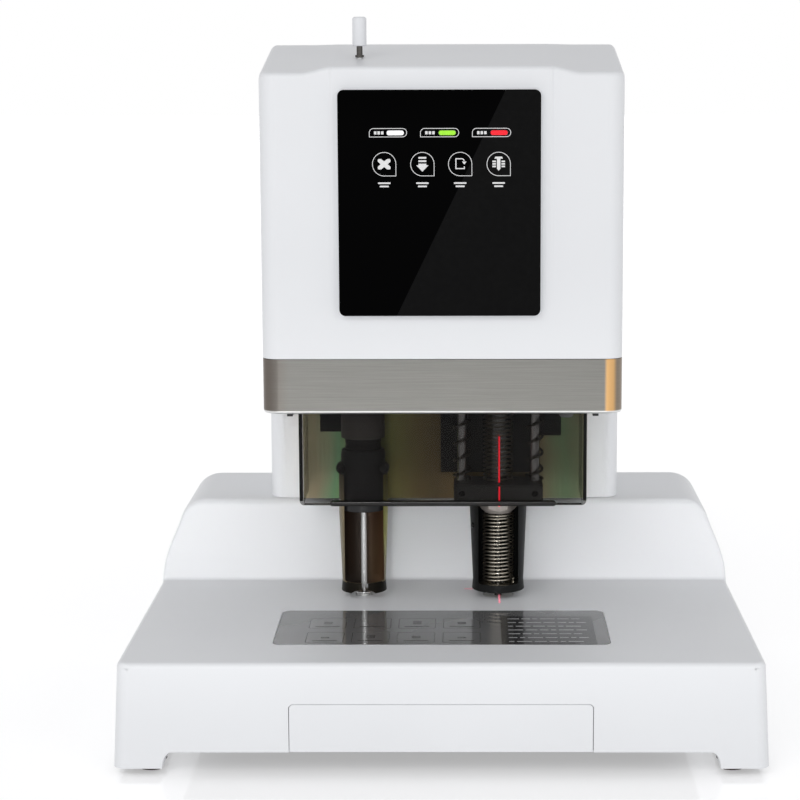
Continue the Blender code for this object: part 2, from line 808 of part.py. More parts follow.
def build_pan():
    """The steel pan that closes the base, with a pressed cup over each foot."""
    half_x = DECK_WIDTH / 2 - BASE_WALL - PAN_GAP
    half_y = HALF_DEPTH - BASE_WALL - PAN_GAP
    outline = rounded_rectangle((-half_x, -half_y), (half_x, half_y), BASE_CORNER - BASE_WALL)
    pan = slab("chassis_pan", outline, PAN_BOTTOM, PAN_TOP, dark_steel())
    cups, wells = [], []
    inner_x = ARCH_FOOT_WIDTH / 2 - PAN_THICK
    for name, (x, y) in foot_places().items():
        side = math.copysign(1, x)
        low_x, high_x = sorted((side * inner_x, side * half_x))
        end_y = math.copysign(half_y, y)
        low_y, high_y = sorted((end_y, end_y - math.copysign(CUP_LENGTH, y)))
        cups.append(box("cup_" + name, (low_x, low_y, CUP_BOTTOM), (high_x, high_y, PAN_TOP), None))
        wells.append(
            box(
                "well_" + name,
                (low_x + PAN_THICK, low_y + PAN_THICK, CUP_BOTTOM + PAN_THICK),
                (high_x - PAN_THICK, high_y - PAN_THICK, PAN_TOP + OVERRUN),
                None,
            )
        )
    fuse(pan, *cups, *runner_angles())
    cut(pan, *wells)


def build_feet():
    top = CUP_BOTTOM - SEAT
    rim = top / 4
    for name, (x, y) in foot_places().items():
        profile = (
            (0, 0),
            (FOOT_BOTTOM_RADIUS - rim, 0),
            (FOOT_BOTTOM_RADIUS, rim),
            (FOOT_TOP_RADIUS, top),
            (0, top),
        )
        turned("foot_" + name, profile, (x, y, 0), rubber(), SMALL_ROUND)


def build_drawer():
    """The chip drawer: a front panel and an open tray in one moulding."""
    front_y = -HALF_DEPTH
    tray_bottom = PAN_TOP + SEAT
    front = box(
        "chip_drawer",
        (-DRAWER_WIDTH / 2, front_y, ARCH_HEIGHT),
        (DRAWER_WIDTH / 2, front_y + DRAWER_FRONT_THICK, ARCH_HEIGHT + DRAWER_FRONT_HEIGHT),
        white_plastic(),
        DRAWER_EDGE,
    )
    tray_low = (-TRAY_WIDTH / 2, front_y + DRAWER_FRONT_THICK / 2, tray_bottom)
    tray_high = (TRAY_WIDTH / 2, front_y + TRAY_DEPTH, tray_bottom + TRAY_HEIGHT)
    tray = box("tray_block", tray_low, tray_high, None)
    well = box(
        "tray_well",
        (tray_low[0] + TRAY_WALL, front_y + DRAWER_FRONT_THICK + TRAY_WALL, tray_bottom + TRAY_WALL),
        (tray_high[0] - TRAY_WALL, tray_high[1] - TRAY_WALL, tray_high[2] + OVERRUN),
        None,
    )
    fuse(front, tray)
    cut(front, well)
    place = carrier("drawer_carrier", (0, front_y, tray_bottom))
    carry(place, front)


# Deck fittings


def build_mat():
    outline = rounded_rectangle(
        (-MAT_WIDTH / 2, MAT_FRONT_Y), (MAT_WIDTH / 2, MAT_FRONT_Y + MAT_DEPTH), MAT_CORNER
    )
    top = DECK_HEIGHT + MAT_PROUD
    slab("deck_mat", outline, top - MAT_THICK, top, smoked_plastic())


def build_drill_pad():
    """The nylon pad under the drill and the chip tube that carries it."""
    top = DECK_HEIGHT - MAT_PROUD
    bottom = top - PAD_THICK
    ring = ((PAD_BORE, bottom), (PAD_RADIUS, bottom), (PAD_RADIUS, top), (PAD_BORE, top))
    turned("drill_pad", ring, (DRILL_X, AXIS_Y, 0), nylon(), ROUND)
    roof = DECK_HEIGHT - DECK_WALL - SEAT
    ledge = bottom - SEAT
    seat_radius = PAD_RADIUS + SEAT
    profile = (
        (TUBE_BORE, roof - TUBE_LENGTH),
        (TUBE_RADIUS, roof - TUBE_LENGTH),
        (TUBE_RADIUS, roof - TUBE_FLANGE_THICK),
        (TUBE_FLANGE_RADIUS, roof - TUBE_FLANGE_THICK),
        (TUBE_FLANGE_RADIUS, roof),
        (seat_radius, roof),
        (seat_radius, ledge),
        (TUBE_BORE, ledge),
    )
    turned("chip_tube", profile, (DRILL_X, AXIS_Y, 0), bright_steel(), ROUND)


def build_anvil():
    """The lower rivet die, standing through the deck, and the heater block that holds it."""
    deck = DECK_HEIGHT + MAT_PROUD
    tip = deck + ANVIL_CONE_HEIGHT
    bottom = DECK_HEIGHT - DECK_WALL - SEAT - ANVIL_SHANK
    profile = (
        (ANVIL_BORE, bottom),
        (ANVIL_RADIUS, bottom),
        (ANVIL_RADIUS, deck),
        (ANVIL_CONE_RADIUS, deck),
        (ANVIL_TIP_RADIUS, tip),
        (ANVIL_BORE, tip),
    )
    turned("rivet_anvil", profile, (RIVET_X, AXIS_Y, 0), bright_steel(), ROUND)
    top = DECK_HEIGHT - DECK_WALL - SEAT
    half = HEATER_SIDE / 2
    block = box(
        "anvil_heater",
        (RIVET_X - half, AXIS_Y - half, top - HEATER_HEIGHT),
        (RIVET_X + half, AXIS_Y + half, top),
        dark_steel(),
        CAST_EDGE,
    )
    hole = post("heater_hole", ANVIL_RADIUS + SEAT, (RIVET_X, AXIS_Y), bottom - SEAT, top + OVERRUN, None)
    cut(block, hole)


# Column and frame


def build_column():
    """The casing behind the tools: open in front, where the steel frame passes, and rimmed at the top."""
    half = COLUMN_WIDTH / 2
    bottom, top = HUMP_HEIGHT + SEAT, HEAD_BOTTOM - SEAT
    shell = slab(
        "column_shell",
        rounded_rectangle((-half, COLUMN_FRONT_Y), (half, COLUMN_REAR_Y), COLUMN_CORNER),
        bottom,
        top,
        white_plastic(),
    )
    inner = half - COLUMN_WALL
    hollow = slab(
        "column_hollow",
        rounded_rectangle(
            (-inner, COLUMN_FRONT_Y + COLUMN_WALL),
            (inner, COLUMN_REAR_Y - COLUMN_WALL),
            COLUMN_CORNER - COLUMN_WALL,
        ),
        bottom - OVERRUN,
        top - COLUMN_WALL,
        None,
    )
    gate_half = FRAME_WIDTH / 2 + 2 * SEAT
    gate = box(
        "column_gate",
        (-gate_half, COLUMN_FRONT_Y - OVERRUN, bottom - OVERRUN),
        (gate_half, COLUMN_REAR_Y - COLUMN_RIM / 2, top + OVERRUN),
        None,
    )
    cut(shell, hollow, gate)


def build_frame():
    """The zinc-plated channel that carries both units, bolted to a post that stands on the pan."""
    half = FRAME_WIDTH / 2
    frame = box(
        "head_frame",
        (-half, FRAME_FRONT_Y, FRAME_BOTTOM),
        (half, FRAME_REAR_Y, FRAME_TOP),
        zinc_plate(),
    )
    inside = box(
        "frame_hollow",
        (-half + FRAME_THICK, FRAME_FRONT_Y + FRAME_THICK, FRAME_BOTTOM - OVERRUN),
        (half - FRAME_THICK, FRAME_REAR_Y + OVERRUN, FRAME_TOP + OVERRUN),
        None,
    )
    post_half, post_front, post_rear = post_plan()
    stand = box(
        "frame_post",
        (-post_half, post_front, PAN_TOP + SEAT),
        (post_half, post_rear, POST_TOP),
        dark_steel(),
    )
    stand_inside = box(
        "post_hollow",
        (-post_half + FRAME_THICK, post_front - OVERRUN, PAN_TOP - OVERRUN),
        (post_half - FRAME_THICK, post_rear - FRAME_THICK, POST_TOP + OVERRUN),
        None,
    )
    cut(frame, inside)
    cut(stand, stand_inside)


# Head


def head_outline(front, rear, half, radius):
    return rounded_rectangle((-half, front), (half, rear), radius, 5)


def build_band():
    """The brushed band round the foot of the head."""
    half = HEAD_WIDTH / 2
    top = HEAD_BOTTOM + BAND_HEIGHT

    def ring(level, draw):
        outline = head_outline(HEAD_FRONT_Y + draw, HEAD_REAR_Y - draw, half - draw, HEAD_CORNER - draw)
        return [(x, y, level) for x, y in outline]

    rings = [
        ring(HEAD_BOTTOM, BAND_WALL),
        ring(HEAD_BOTTOM, BAND_EDGE),
        ring(HEAD_BOTTOM + BAND_EDGE / 3, BAND_EDGE / 3),
        ring(HEAD_BOTTOM + BAND_EDGE, 0.0),
        ring(top, 0.0),
        ring(top, BAND_WALL),
    ]
    loft("head_band", rings, brushed_steel(), close_rings=True)


def build_floor():
    """The plate that closes the head from below, with its opening, the cover's lugs and the laser's arm."""
    gap = BAND_WALL + SEAT
    half = HEAD_WIDTH / 2 - gap
    bottom = HEAD_BOTTOM + SEAT
    top = bottom + FLOOR_THICK
    outline = head_outline(HEAD_FRONT_Y + gap, HEAD_REAR_Y - gap, half, HEAD_CORNER - gap)
    plate = slab("head_floor", outline, bottom, top, black_plastic())
    opening = box(
        "floor_opening",
        (-FLOOR_OPEN_HALF, FLOOR_OPEN_FRONT, bottom - OVERRUN),
        (FLOOR_OPEN_HALF, FLOOR_OPEN_REAR, top + OVERRUN),
        None,
    )
    cut(plate, opening)
    lugs = []
    for side in (-1, 1):
        near = FLOOR_OPEN_HALF + SEAT
        low_x, high_x = sorted((side * near, side * (near + LUG_THICK)))
        lugs.append(
            box(
                f"pivot_lug_{side}",
                (low_x, PIVOT_Y - PIVOT_EAR, PIVOT_Z - PIVOT_EAR),
                (high_x, PIVOT_Y + PIVOT_EAR, PIVOT_Z + PIVOT_EAR),
                None,
            )
        )
    arm = box(
        "laser_arm",
        (LASER_X - LASER_ARM_HALF, LASER_Y - LASER_ARM_HALF, bottom),
        (FLOOR_OPEN_HALF + FLOOR_THICK, LASER_Y + LASER_ARM_HALF, top + FLOOR_THICK),
        None,
    )
    fuse(plate, *lugs, arm)
    reach = FLOOR_OPEN_HALF + LUG_THICK + OVERRUN
    radius = PIN_RADIUS + SEAT
    pin_hole = turned(
        "lug_hole",
        ((0, -reach), (radius, -reach), (radius, reach), (0, reach)),
        (0, PIVOT_Y, PIVOT_Z),
        None,
        SMALL_ROUND,
        "X",
    )
    laser_hole = post(
        "laser_hole", LASER_RADIUS + SEAT, (LASER_X, LASER_Y), bottom - OVERRUN, top + 2 * OVERRUN, None
    )
    cut(plate, pin_hole, laser_hole)


def build_pivots():
    inner = COVER_WIDTH / 2 - COVER_WALL
    outer = FLOOR_OPEN_HALF + SEAT + LUG_THICK
    for name, side in (("left", -1), ("right", 1)):
        profile = (
            (0, side * inner),
            (PIN_RADIUS, side * inner),
            (PIN_RADIUS, side * outer),
            (0, side * outer),
        )
        turned("cover_pin_" + name, profile, (0, PIVOT_Y, PIVOT_Z), bright_steel(), SMALL_ROUND, "X")


def raise_share(x, half):
    """How much of the raised band is present at x: one in the middle, none near the sides."""
    return 1 - smooth_step((abs(x) - half) / RAISE_SHOULDER)


def head_section(x, draw_corner, draw_edge, skin, floor):
    """One lengthwise section of the head casing at x, front face first."""
    lift = RAISE_HEIGHT * raise_share(x, RAISE_HALF_WIDTH)
    proud = RAISE_PROUD * (1 - smooth_step((abs(x) - RAISE_HALF_WIDTH) / (RAISE_SHOULDER / 8)))
    front = HEAD_FRONT_Y + draw_corner + skin
    rear = HEAD_REAR_Y - draw_corner - skin
    low = HEAD_FRONT_TOP + lift - draw_edge - skin
    high = low + HEAD_CREST * (1 - CREST_SHARE * lift / RAISE_HEIGHT)
    back = high - HEAD_REAR_DROP
    edge = HEAD_EDGE
    fall = math.atan2(high - low, HEAD_CREST_Y - front)
    run = edge * math.tan((math.pi / 2 - fall) / 2)
    points = [
        (front, floor),
        (front, RAISE_FADE_Z),
        (front - proud, low - 8 * edge),
        (front - proud, low - run),
    ]
    centre = (front + edge - proud, low - run)
    points += arc(centre, edge, math.pi, math.pi / 2 + fall, 4)[1:]
    points += [
        (HEAD_CREST_Y - CREST_RADIUS, high - CREST_RADIUS * math.tan(fall)),
        (HEAD_CREST_Y, high - CREST_RADIUS * math.tan(fall) / 2),
        (HEAD_CREST_Y + CREST_RADIUS, high - CREST_RADIUS * math.tan(fall) / 2),
    ]
    rear_edge = HEAD_CORNER - skin
    points += arc((rear - rear_edge, back - rear_edge), rear_edge, math.pi / 2, 0, 5)
    points += [(rear, floor)]
    return [(x, y, z) for y, z in points]


def head_rings(skin, floor):
    half = HEAD_WIDTH / 2 - skin
    corner = HEAD_CORNER - skin
    shoulder = RAISE_HALF_WIDTH + RAISE_SHOULDER
    places = []
    for distance in corner_stations(corner):
        places.append((-half + distance, corner_inset(distance, corner), corner_inset(distance, HEAD_EDGE)))
    steps = 6
    for k in range(steps + 1):
        places.append((-shoulder + RAISE_SHOULDER * k / steps, 0.0, 0.0))
    places.insert(-1, (-RAISE_HALF_WIDTH - RAISE_SHOULDER / 8, 0.0, 0.0))
    places += [(-x, inset, drop) for x, inset, drop in reversed(places)]
    return [head_section(x, inset, drop, skin, floor) for x, inset, drop in places]


def build_head_shell():
    """The white head casing: crowned top, raised middle band and round upright corners."""
    bottom = HEAD_BOTTOM + BAND_HEIGHT + SEAT
    shell = loft("head_shell", head_rings(0.0, bottom), white_plastic())
    hollow = loft("head_hollow", head_rings(HEAD_WALL, bottom - OVERRUN), None)
    half = BACK_COVER_WIDTH / 2
    back = slab(
        "back_opening",
        rounded_rectangle((-half, BACK_COVER_BOTTOM), (half, BACK_COVER_TOP), BACK_COVER_CORNER),
        HEAD_REAR_Y - 2 * HEAD_WALL,
        HEAD_REAR_Y + OVERRUN,
        None,
        "Y",
    )
    hole_top = HEAD_FRONT_TOP + 2 * HEAD_CREST
    needle = post(
        "needle_hole", NEEDLE_BORE_RADIUS, (RIVET_X, AXIS_Y), HEAD_FRONT_TOP, hole_top, None, SMALL_ROUND
    )
    cut(shell, hollow, back, needle)


def build_back_cover():
    half = BACK_COVER_WIDTH / 2 - SEAT
    cover = slab(
        "head_back_cover",
        rounded_rectangle(
            (-half, BACK_COVER_BOTTOM + SEAT), (half, BACK_COVER_TOP - SEAT), BACK_COVER_CORNER - SEAT
        ),
        HEAD_REAR_Y - HEAD_WALL,
        HEAD_REAR_Y,
        white_plastic(),
        "Y",
    )
    middle = (BACK_COVER_BOTTOM + BACK_COVER_TOP) / 2
    slots = []
    for side in (-1, 1):
        for k in range(VENT_COUNT):
            z = middle + (k - (VENT_COUNT - 1) / 2) * VENT_PITCH
            x = side * BACK_COVER_WIDTH / 4
            slots.append(
                box(
                    f"vent_{side}_{k}",
                    (x - VENT_WIDTH / 2, HEAD_REAR_Y - HEAD_WALL - OVERRUN, z - VENT_HEIGHT / 2),
                    (x + VENT_WIDTH / 2, HEAD_REAR_Y + OVERRUN, z + VENT_HEIGHT / 2),
                    None,
                )
            )
    cut(cover, *slots)


# Control panel


def panel_outline(draw):
    half = PANEL_WIDTH / 2 - draw
    return rounded_rectangle(
        (PANEL_X - half, PANEL_BOTTOM + draw),
        (PANEL_X + half, PANEL_BOTTOM + PANEL_HEIGHT - draw),
        PANEL_CORNER - draw,
    )


def build_panel():
    """White bezel with the black glass on it, three lamps let into the glass, and the board behind."""
    back = HEAD_FRONT_Y - RAISE_PROUD - SEAT
    front = back - BEZEL_THICK
    slab("panel_bezel", panel_outline(0.0), front, back, white_plastic(), "Y")
    glass_back = front - SEAT
    glass_front = glass_back - GLASS_THICK
    glass = slab("panel_glass", panel_outline(GLASS_INSET), glass_front, glass_back, black_glass(), "Y")
    colours = (
        ("lamp_white", (0.9, 0.9, 0.9)),
        ("lamp_green", (0.25, 0.75, 0.1)),
        ("lamp_red", (0.85, 0.05, 0.04)),
    )
    windows = []
    for k, (name, colour) in enumerate(colours):
        x = LAMP_FIRST_X + k * LAMP_PITCH
        low = (x - LAMP_WIDTH / 2, glass_front, LAMP_Z - LAMP_HEIGHT / 2)
        high = (x + LAMP_WIDTH / 2, glass_back, LAMP_Z + LAMP_HEIGHT / 2)
        box(name, low, high, lamp_plastic(name, colour))
        windows.append(
            box(
                "window_" + name,
                (low[0] - SEAT, glass_front - OVERRUN, low[2] - SEAT),
                (high[0] + SEAT, glass_back + OVERRUN, high[2] + SEAT),
                None,
            )
        )
    cut(glass, *windows)
    board_front = HEAD_FRONT_Y + HEAD_WALL + SEAT
    box(
        "control_board",
        (PANEL_X - BOARD_WIDTH / 2, board_front, BOARD_BOTTOM),
        (PANEL_X + BOARD_WIDTH / 2, board_front + BOARD_THICK, BOARD_BOTTOM + BOARD_HEIGHT),
        board_green(),
    )


# Clear cover


def build_cover():
    """The smoked cover: a front and two sides in one moulding, hung on two pins, with a finger lip."""
    half = COVER_WIDTH / 2
    cover = slab(
        "clear_cover",
        rounded_rectangle((-half, COVER_FRONT_Y), (half, COVER_REAR_Y + OVERRUN), COVER_CORNER),
        COVER_BOTTOM,
        COVER_TOP,
        smoked_plastic(),
    )
    inner, corner = half - COVER_WALL, COVER_CORNER - COVER_WALL
    hollow = slab(
        "cover_hollow",
        rounded_rectangle((-inner, COVER_FRONT_Y + COVER_WALL), (inner, COVER_REAR_Y + 3 * OVERRUN), corner),
        COVER_BOTTOM - OVERRUN,
        COVER_TOP + OVERRUN,
        None,
    )
    rear = box(
        "cover_rear_trim",
        (-half - OVERRUN, COVER_REAR_Y, COVER_BOTTOM - OVERRUN),
        (half + OVERRUN, COVER_REAR_Y + 4 * OVERRUN, COVER_TOP + OVERRUN),
        None,
    )
    top = box(
        "cover_top_trim",
        (-half - OVERRUN, PIVOT_Y + PIVOT_EAR, COVER_SIDE_TOP),
        (half + OVERRUN, COVER_REAR_Y + 4 * OVERRUN, COVER_TOP + OVERRUN),
        None,
    )
    radius = PIN_RADIUS + SEAT
    pin_hole = turned(
        "cover_pin_hole",
        ((0, -half - OVERRUN), (radius, -half - OVERRUN), (radius, half + OVERRUN), (0, half + OVERRUN)),
        (0, PIVOT_Y, PIVOT_Z),
        None,
        SMALL_ROUND,
        "X",
    )
    lip_outline = rounded_rectangle(
        (-LIP_LENGTH / 2, COVER_BOTTOM),
        (LIP_LENGTH / 2, COVER_BOTTOM + LIP_HEIGHT),
        LIP_HEIGHT * LIP_ROUND_SHARE,
    )
    lip = slab("cover_lip", lip_outline, COVER_FRONT_Y - LIP_DEPTH, COVER_FRONT_Y + COVER_WALL / 2, None, "Y")
    fuse(cover, lip)
    cut(cover, hollow, rear, top, pin_hole)
    place = carrier("cover_carrier", (0, PIVOT_Y, PIVOT_Z))
    carry(place, cover)


# Springs


def helix_points(coil, wire, curls, low, high):
    """Points up one spring: a straight stretch one wire thick at each end, and curls between them."""
    thick = 2 * wire
    start, end = low + thick, high - thick
    count = curls * POINTS_PER_CURL
    points = [(coil, 0.0, low)]
    for k in range(count + 1):
        turn = 2 * math.pi * k / POINTS_PER_CURL
        points.append((coil * math.cos(turn), coil * math.sin(turn), start + (end - start) * k / count))
    points.append((coil, 0.0, high))
    return points


def build_spring(name, centre, coil, wire, curls, low, high, finish):
    """One unbroken wire wound by formula, and a print of its least gap to itself."""
    curve = bpy.data.curves.new(name, "CURVE")
    curve.dimensions = "3D"
    curve.bevel_depth = wire
    curve.bevel_resolution = 1
    curve.use_fill_caps = True
    curve.resolution_u = 1
    spline = curve.splines.new("POLY")
    points = helix_points(coil, wire, curls, low + SEAT, high - SEAT)
    spline.points.add(len(points) - 1)
    for slot, (x, y, z) in zip(spline.points, points):
        slot.co = (centre[0] + x, centre[1] + y, z, 1.0)
    spline.use_smooth = True
    curve.materials.append(finish)
    spring = bpy.data.objects.new(name, curve)
    bpy.context.scene.collection.objects.link(spring)
    least = min(
        (Vector(points[i]) - Vector(points[j])).length
        for i in range(len(points))
        for j in range(i + POINTS_PER_CURL - 2, min(i + 2 * POINTS_PER_CURL, len(points)))
    )
    print(name, "least gap to itself in mm:", round(1000 * (least - 2 * wire), 3))
    return spring


# Drill unit


def build_rails():
    back = FRAME_FRONT_Y - SEAT
    box(
        "drill_rail",
        (DRILL_RAIL_X - DRILL_RAIL_WIDTH / 2, back - RAIL_DEPTH, DRILL_RAIL_BOTTOM),
        (DRILL_RAIL_X + DRILL_RAIL_WIDTH / 2, back, RAIL_TOP),
        bright_steel(),
    )
    box(
        "rivet_rail",
        (RIVET_RAIL_X - RAIL_WIDTH / 2, back - RAIL_DEPTH, RIVET_RAIL_BOTTOM),
        (RIVET_RAIL_X + RAIL_WIDTH / 2, back, RAIL_TOP),
        bright_steel(),
    )


def build_lift_motor(name, x):
    """A hollow linear motor on the frame: its nut turns inside and its screw slides through."""
    half = LIFT_MOTOR_SIDE / 2
    bottom = LIFT_MOTOR_BOTTOM
    back = FRAME_FRONT_Y - SEAT
    centre_y = SCREW_Y
    motor = box(
        name,
        (x - half, centre_y - half, bottom),
        (x + half, min(centre_y + half, back), bottom + LIFT_MOTOR_HEIGHT),
        black_plastic(),
        LIFT_MOTOR_EDGE,
    )
    bore_top = bottom + LIFT_MOTOR_HEIGHT + OVERRUN
    bore = post(
        name + "_bore", SCREW_RADIUS + SLIDE_FIT, (x, centre_y), bottom - OVERRUN, bore_top, None, SMALL_ROUND
    )
    cut(motor, bore)


def build_carriage():
    """The drill's cast carriage: a back plate on the rails, ears, an arm for the screw and a shelf."""
    back = FRAME_FRONT_Y - SEAT - RAIL_DEPTH - SEAT
    front = back - CARRIAGE_PLATE
    plate = box(
        "drill_carriage",
        (CARRIAGE_LEFT, front, CARRIAGE_BOTTOM),
        (CARRIAGE_RIGHT, back, CARRIAGE_TOP),
        black_plastic(),
    )
    ear = box(
        "carriage_ear", (CARRIAGE_RIGHT - OVERRUN, front, EAR_BOTTOM), (EAR_RIGHT, back, ARM_TOP), None
    )
    arm = box(
        "carriage_arm",
        (EAR_RIGHT - OVERRUN, ARM_FRONT_Y, ARM_BOTTOM),
        (ARM_RIGHT, back - SEAT, ARM_TOP - SEAT),
        None,
    )
    shelf = box(
        "carriage_shelf",
        (DRILL_X - SHELF_HALF_WIDTH, SHELF_FRONT_Y, CARRIAGE_TOP - SHELF_THICK),
        (DRILL_X + SHELF_HALF_WIDTH - SEAT, front + OVERRUN, CARRIAGE_TOP - SEAT),
        None,
    )
    fuse(plate, ear, arm, shelf)
    bearing = post(
        "bearing_bore",
        SPINDLE_COLLAR_RADIUS + SEAT,
        (DRILL_X, AXIS_Y),
        CARRIAGE_TOP - SHELF_THICK - OVERRUN,
        CARRIAGE_TOP + OVERRUN,
        None,
    )
    cut(plate, bearing)
    return plate


def build_screw(name, x, bottom):
    top = bottom + SCREW_LENGTH
    profile = ((0, bottom), (SCREW_RADIUS, bottom), (SCREW_RADIUS, top), (0, top))
    return turned(name, profile, (x, SCREW_Y, 0), bright_steel(), SMALL_ROUND)


def build_rod(name, x):
    """A guide rod with the stop that holds the foot."""
    top = CARRIAGE_TOP - SHELF_THICK - SEAT
    stop = FOOT_BLOCK_BOTTOM - SEAT
    profile = (
        (0, stop - ROD_STOP_HEIGHT),
        (ROD_STOP_RADIUS, stop - ROD_STOP_HEIGHT),
        (ROD_STOP_RADIUS, stop),
        (ROD_RADIUS, stop),
        (ROD_RADIUS, top),
        (0, top),
    )
    return turned(name, profile, (x, AXIS_Y, 0), bright_steel(), SMALL_ROUND)


def build_drill_motor():
    base = CARRIAGE_TOP
    body = base + MOTOR_BOSS_HEIGHT
    top = body + DRILL_MOTOR_HEIGHT
    lip = MOTOR_CAP_HEIGHT / 3
    profile = (
        (0, base),
        (MOTOR_BOSS_RADIUS, base),
        (MOTOR_BOSS_RADIUS, body),
        (DRILL_MOTOR_RADIUS, body),
        (DRILL_MOTOR_RADIUS, top - lip),
        (DRILL_MOTOR_RADIUS - lip, top),
        (MOTOR_CAP_RADIUS, top),
        (MOTOR_CAP_RADIUS, top + MOTOR_CAP_HEIGHT),
        (0, top + MOTOR_CAP_HEIGHT),
    )
    return turned("drill_motor", profile, (DRILL_X, AXIS_Y, 0), dark_steel(), ROUND)


def build_spindle():
    """The driven spindle, with a socket in its nose for the hollow drill."""
    shelf = CARRIAGE_TOP - SHELF_THICK
    top = CARRIAGE_TOP - SEAT
    socket = SPINDLE_END + CHUCK_DEPTH
    profile = (
        (0, socket),
        (CHUCK_BORE, socket),
        (CHUCK_BORE, SPINDLE_END),
        (SPINDLE_RADIUS, SPINDLE_END),
        (SPINDLE_RADIUS, shelf),
        (SPINDLE_COLLAR_RADIUS, shelf),
        (SPINDLE_COLLAR_RADIUS, top),
        (0, top),
    )
    spindle = turned("drill_spindle", profile, (DRILL_X, AXIS_Y, 0), bright_steel(), ROUND)
    tip = BIT_TIP
    edge = BIT_RADIUS - BIT_BORE
    bit = turned(
        "hollow_drill",
        (
            (BIT_BORE, tip),
            (BIT_RADIUS - edge / 4, tip),
            (BIT_RADIUS, tip + edge),
            (BIT_RADIUS, socket - SEAT),
            (BIT_BORE, socket - SEAT),
        ),
        (DRILL_X, AXIS_Y, 0),
        bright_steel(),
        SMALL_ROUND,
    )
    return spindle, bit


def build_foot_block():
    bottom, top = FOOT_BLOCK_BOTTOM, FOOT_BLOCK_BOTTOM + FOOT_BLOCK_HEIGHT
    block = box(
        "foot_block",
        (DRILL_X - FOOT_BLOCK_HALF_WIDTH, FOOT_BLOCK_FRONT_Y, bottom),
        (DRILL_X + FOOT_BLOCK_HALF_WIDTH, FOOT_BLOCK_REAR_Y, top),
        grey_plastic(),
        CAST_EDGE,
    )
    low, high = bottom - OVERRUN, top + OVERRUN
    bores = [post("nose_bore", NUT_BORE, (DRILL_X, AXIS_Y), low, high, None)]
    for side in (-1, 1):
        centre = (DRILL_X + side * ROD_OFFSET, AXIS_Y)
        bores.append(post(f"rod_bore_{side}", ROD_RADIUS + SLIDE_FIT, centre, low, high, None, SMALL_ROUND))
    cut(block, *bores)
    return block


def guard_profile():
    """Outer and inner outline of the drill guard, with the sill ring inside its foot."""
    top = FOOT_BLOCK_BOTTOM - SEAT
    sill = SILL_TOP
    span = top - GUARD_NECK_Z
    slope = (GUARD_TOP_RADIUS - GUARD_NECK_RADIUS) / span

    def inner(z):
        return GUARD_NECK_RADIUS + slope * max(z - GUARD_NECK_Z, 0.0) - GUARD_WALL

    return (
        (SILL_BORE, sill - SILL_THICK),
        (GUARD_FOOT_RADIUS - GUARD_WALL, GUARD_BOTTOM),
        (GUARD_FOOT_RADIUS, GUARD_BOTTOM),
        (GUARD_NECK_RADIUS, GUARD_NECK_Z),
        (GUARD_TOP_RADIUS, top),
        (GUARD_TOP_RADIUS - GUARD_WALL, top),
        (inner(sill), sill),
        (SILL_BORE, sill),
    )


def build_drill_guard():
    guard = turned("drill_guard", guard_profile(), (DRILL_X, AXIS_Y, 0), dark_steel(), 40)
    window = box(
        "guard_window",
        (DRILL_X - WINDOW_HALF_WIDTH, AXIS_Y - GUARD_TOP_RADIUS - OVERRUN, SILL_TOP),
        (DRILL_X + WINDOW_HALF_WIDTH, AXIS_Y - SILL_BORE, FOOT_BLOCK_BOTTOM + OVERRUN),
        None,
    )
    cut(guard, window)
    return guard


def build_nut():
    """The hex nut under the foot block, one flat to the front, with its lower corners chamfered."""
    top = FOOT_BLOCK_BOTTOM - SEAT
    apothem = NUT_FLATS / 2
    corner = apothem / math.cos(math.pi / 6)

    def ring(level, radius):
        return [
            (
                DRILL_X + radius * math.cos(k * math.pi / 3),
                AXIS_Y + radius * math.sin(k * math.pi / 3),
                level,
            )
            for k in range(6)
        ]

    nut = loft("guard_nut", [ring(NUT_BOTTOM, corner), ring(top, corner)], bright_steel(), smooth=False)
    wide = corner + NUT_CHAMFER
    collar = turned(
        "nut_chamfer",
        (
            (0, NUT_BOTTOM - SEAT),
            (apothem - NUT_CHAMFER / 2, NUT_BOTTOM - SEAT),
            (wide, NUT_BOTTOM + NUT_CHAMFER * 2),
            (wide, top + OVERRUN),
            (0, top + OVERRUN),
        ),
        (DRILL_X, AXIS_Y, 0),
        None,
        ROUND,
    )
    combine(nut, [collar], "INTERSECT")
    cut(nut, post("nut_bore", NUT_BORE, (DRILL_X, AXIS_Y), NUT_BOTTOM - OVERRUN, top + OVERRUN, None))
    return nut


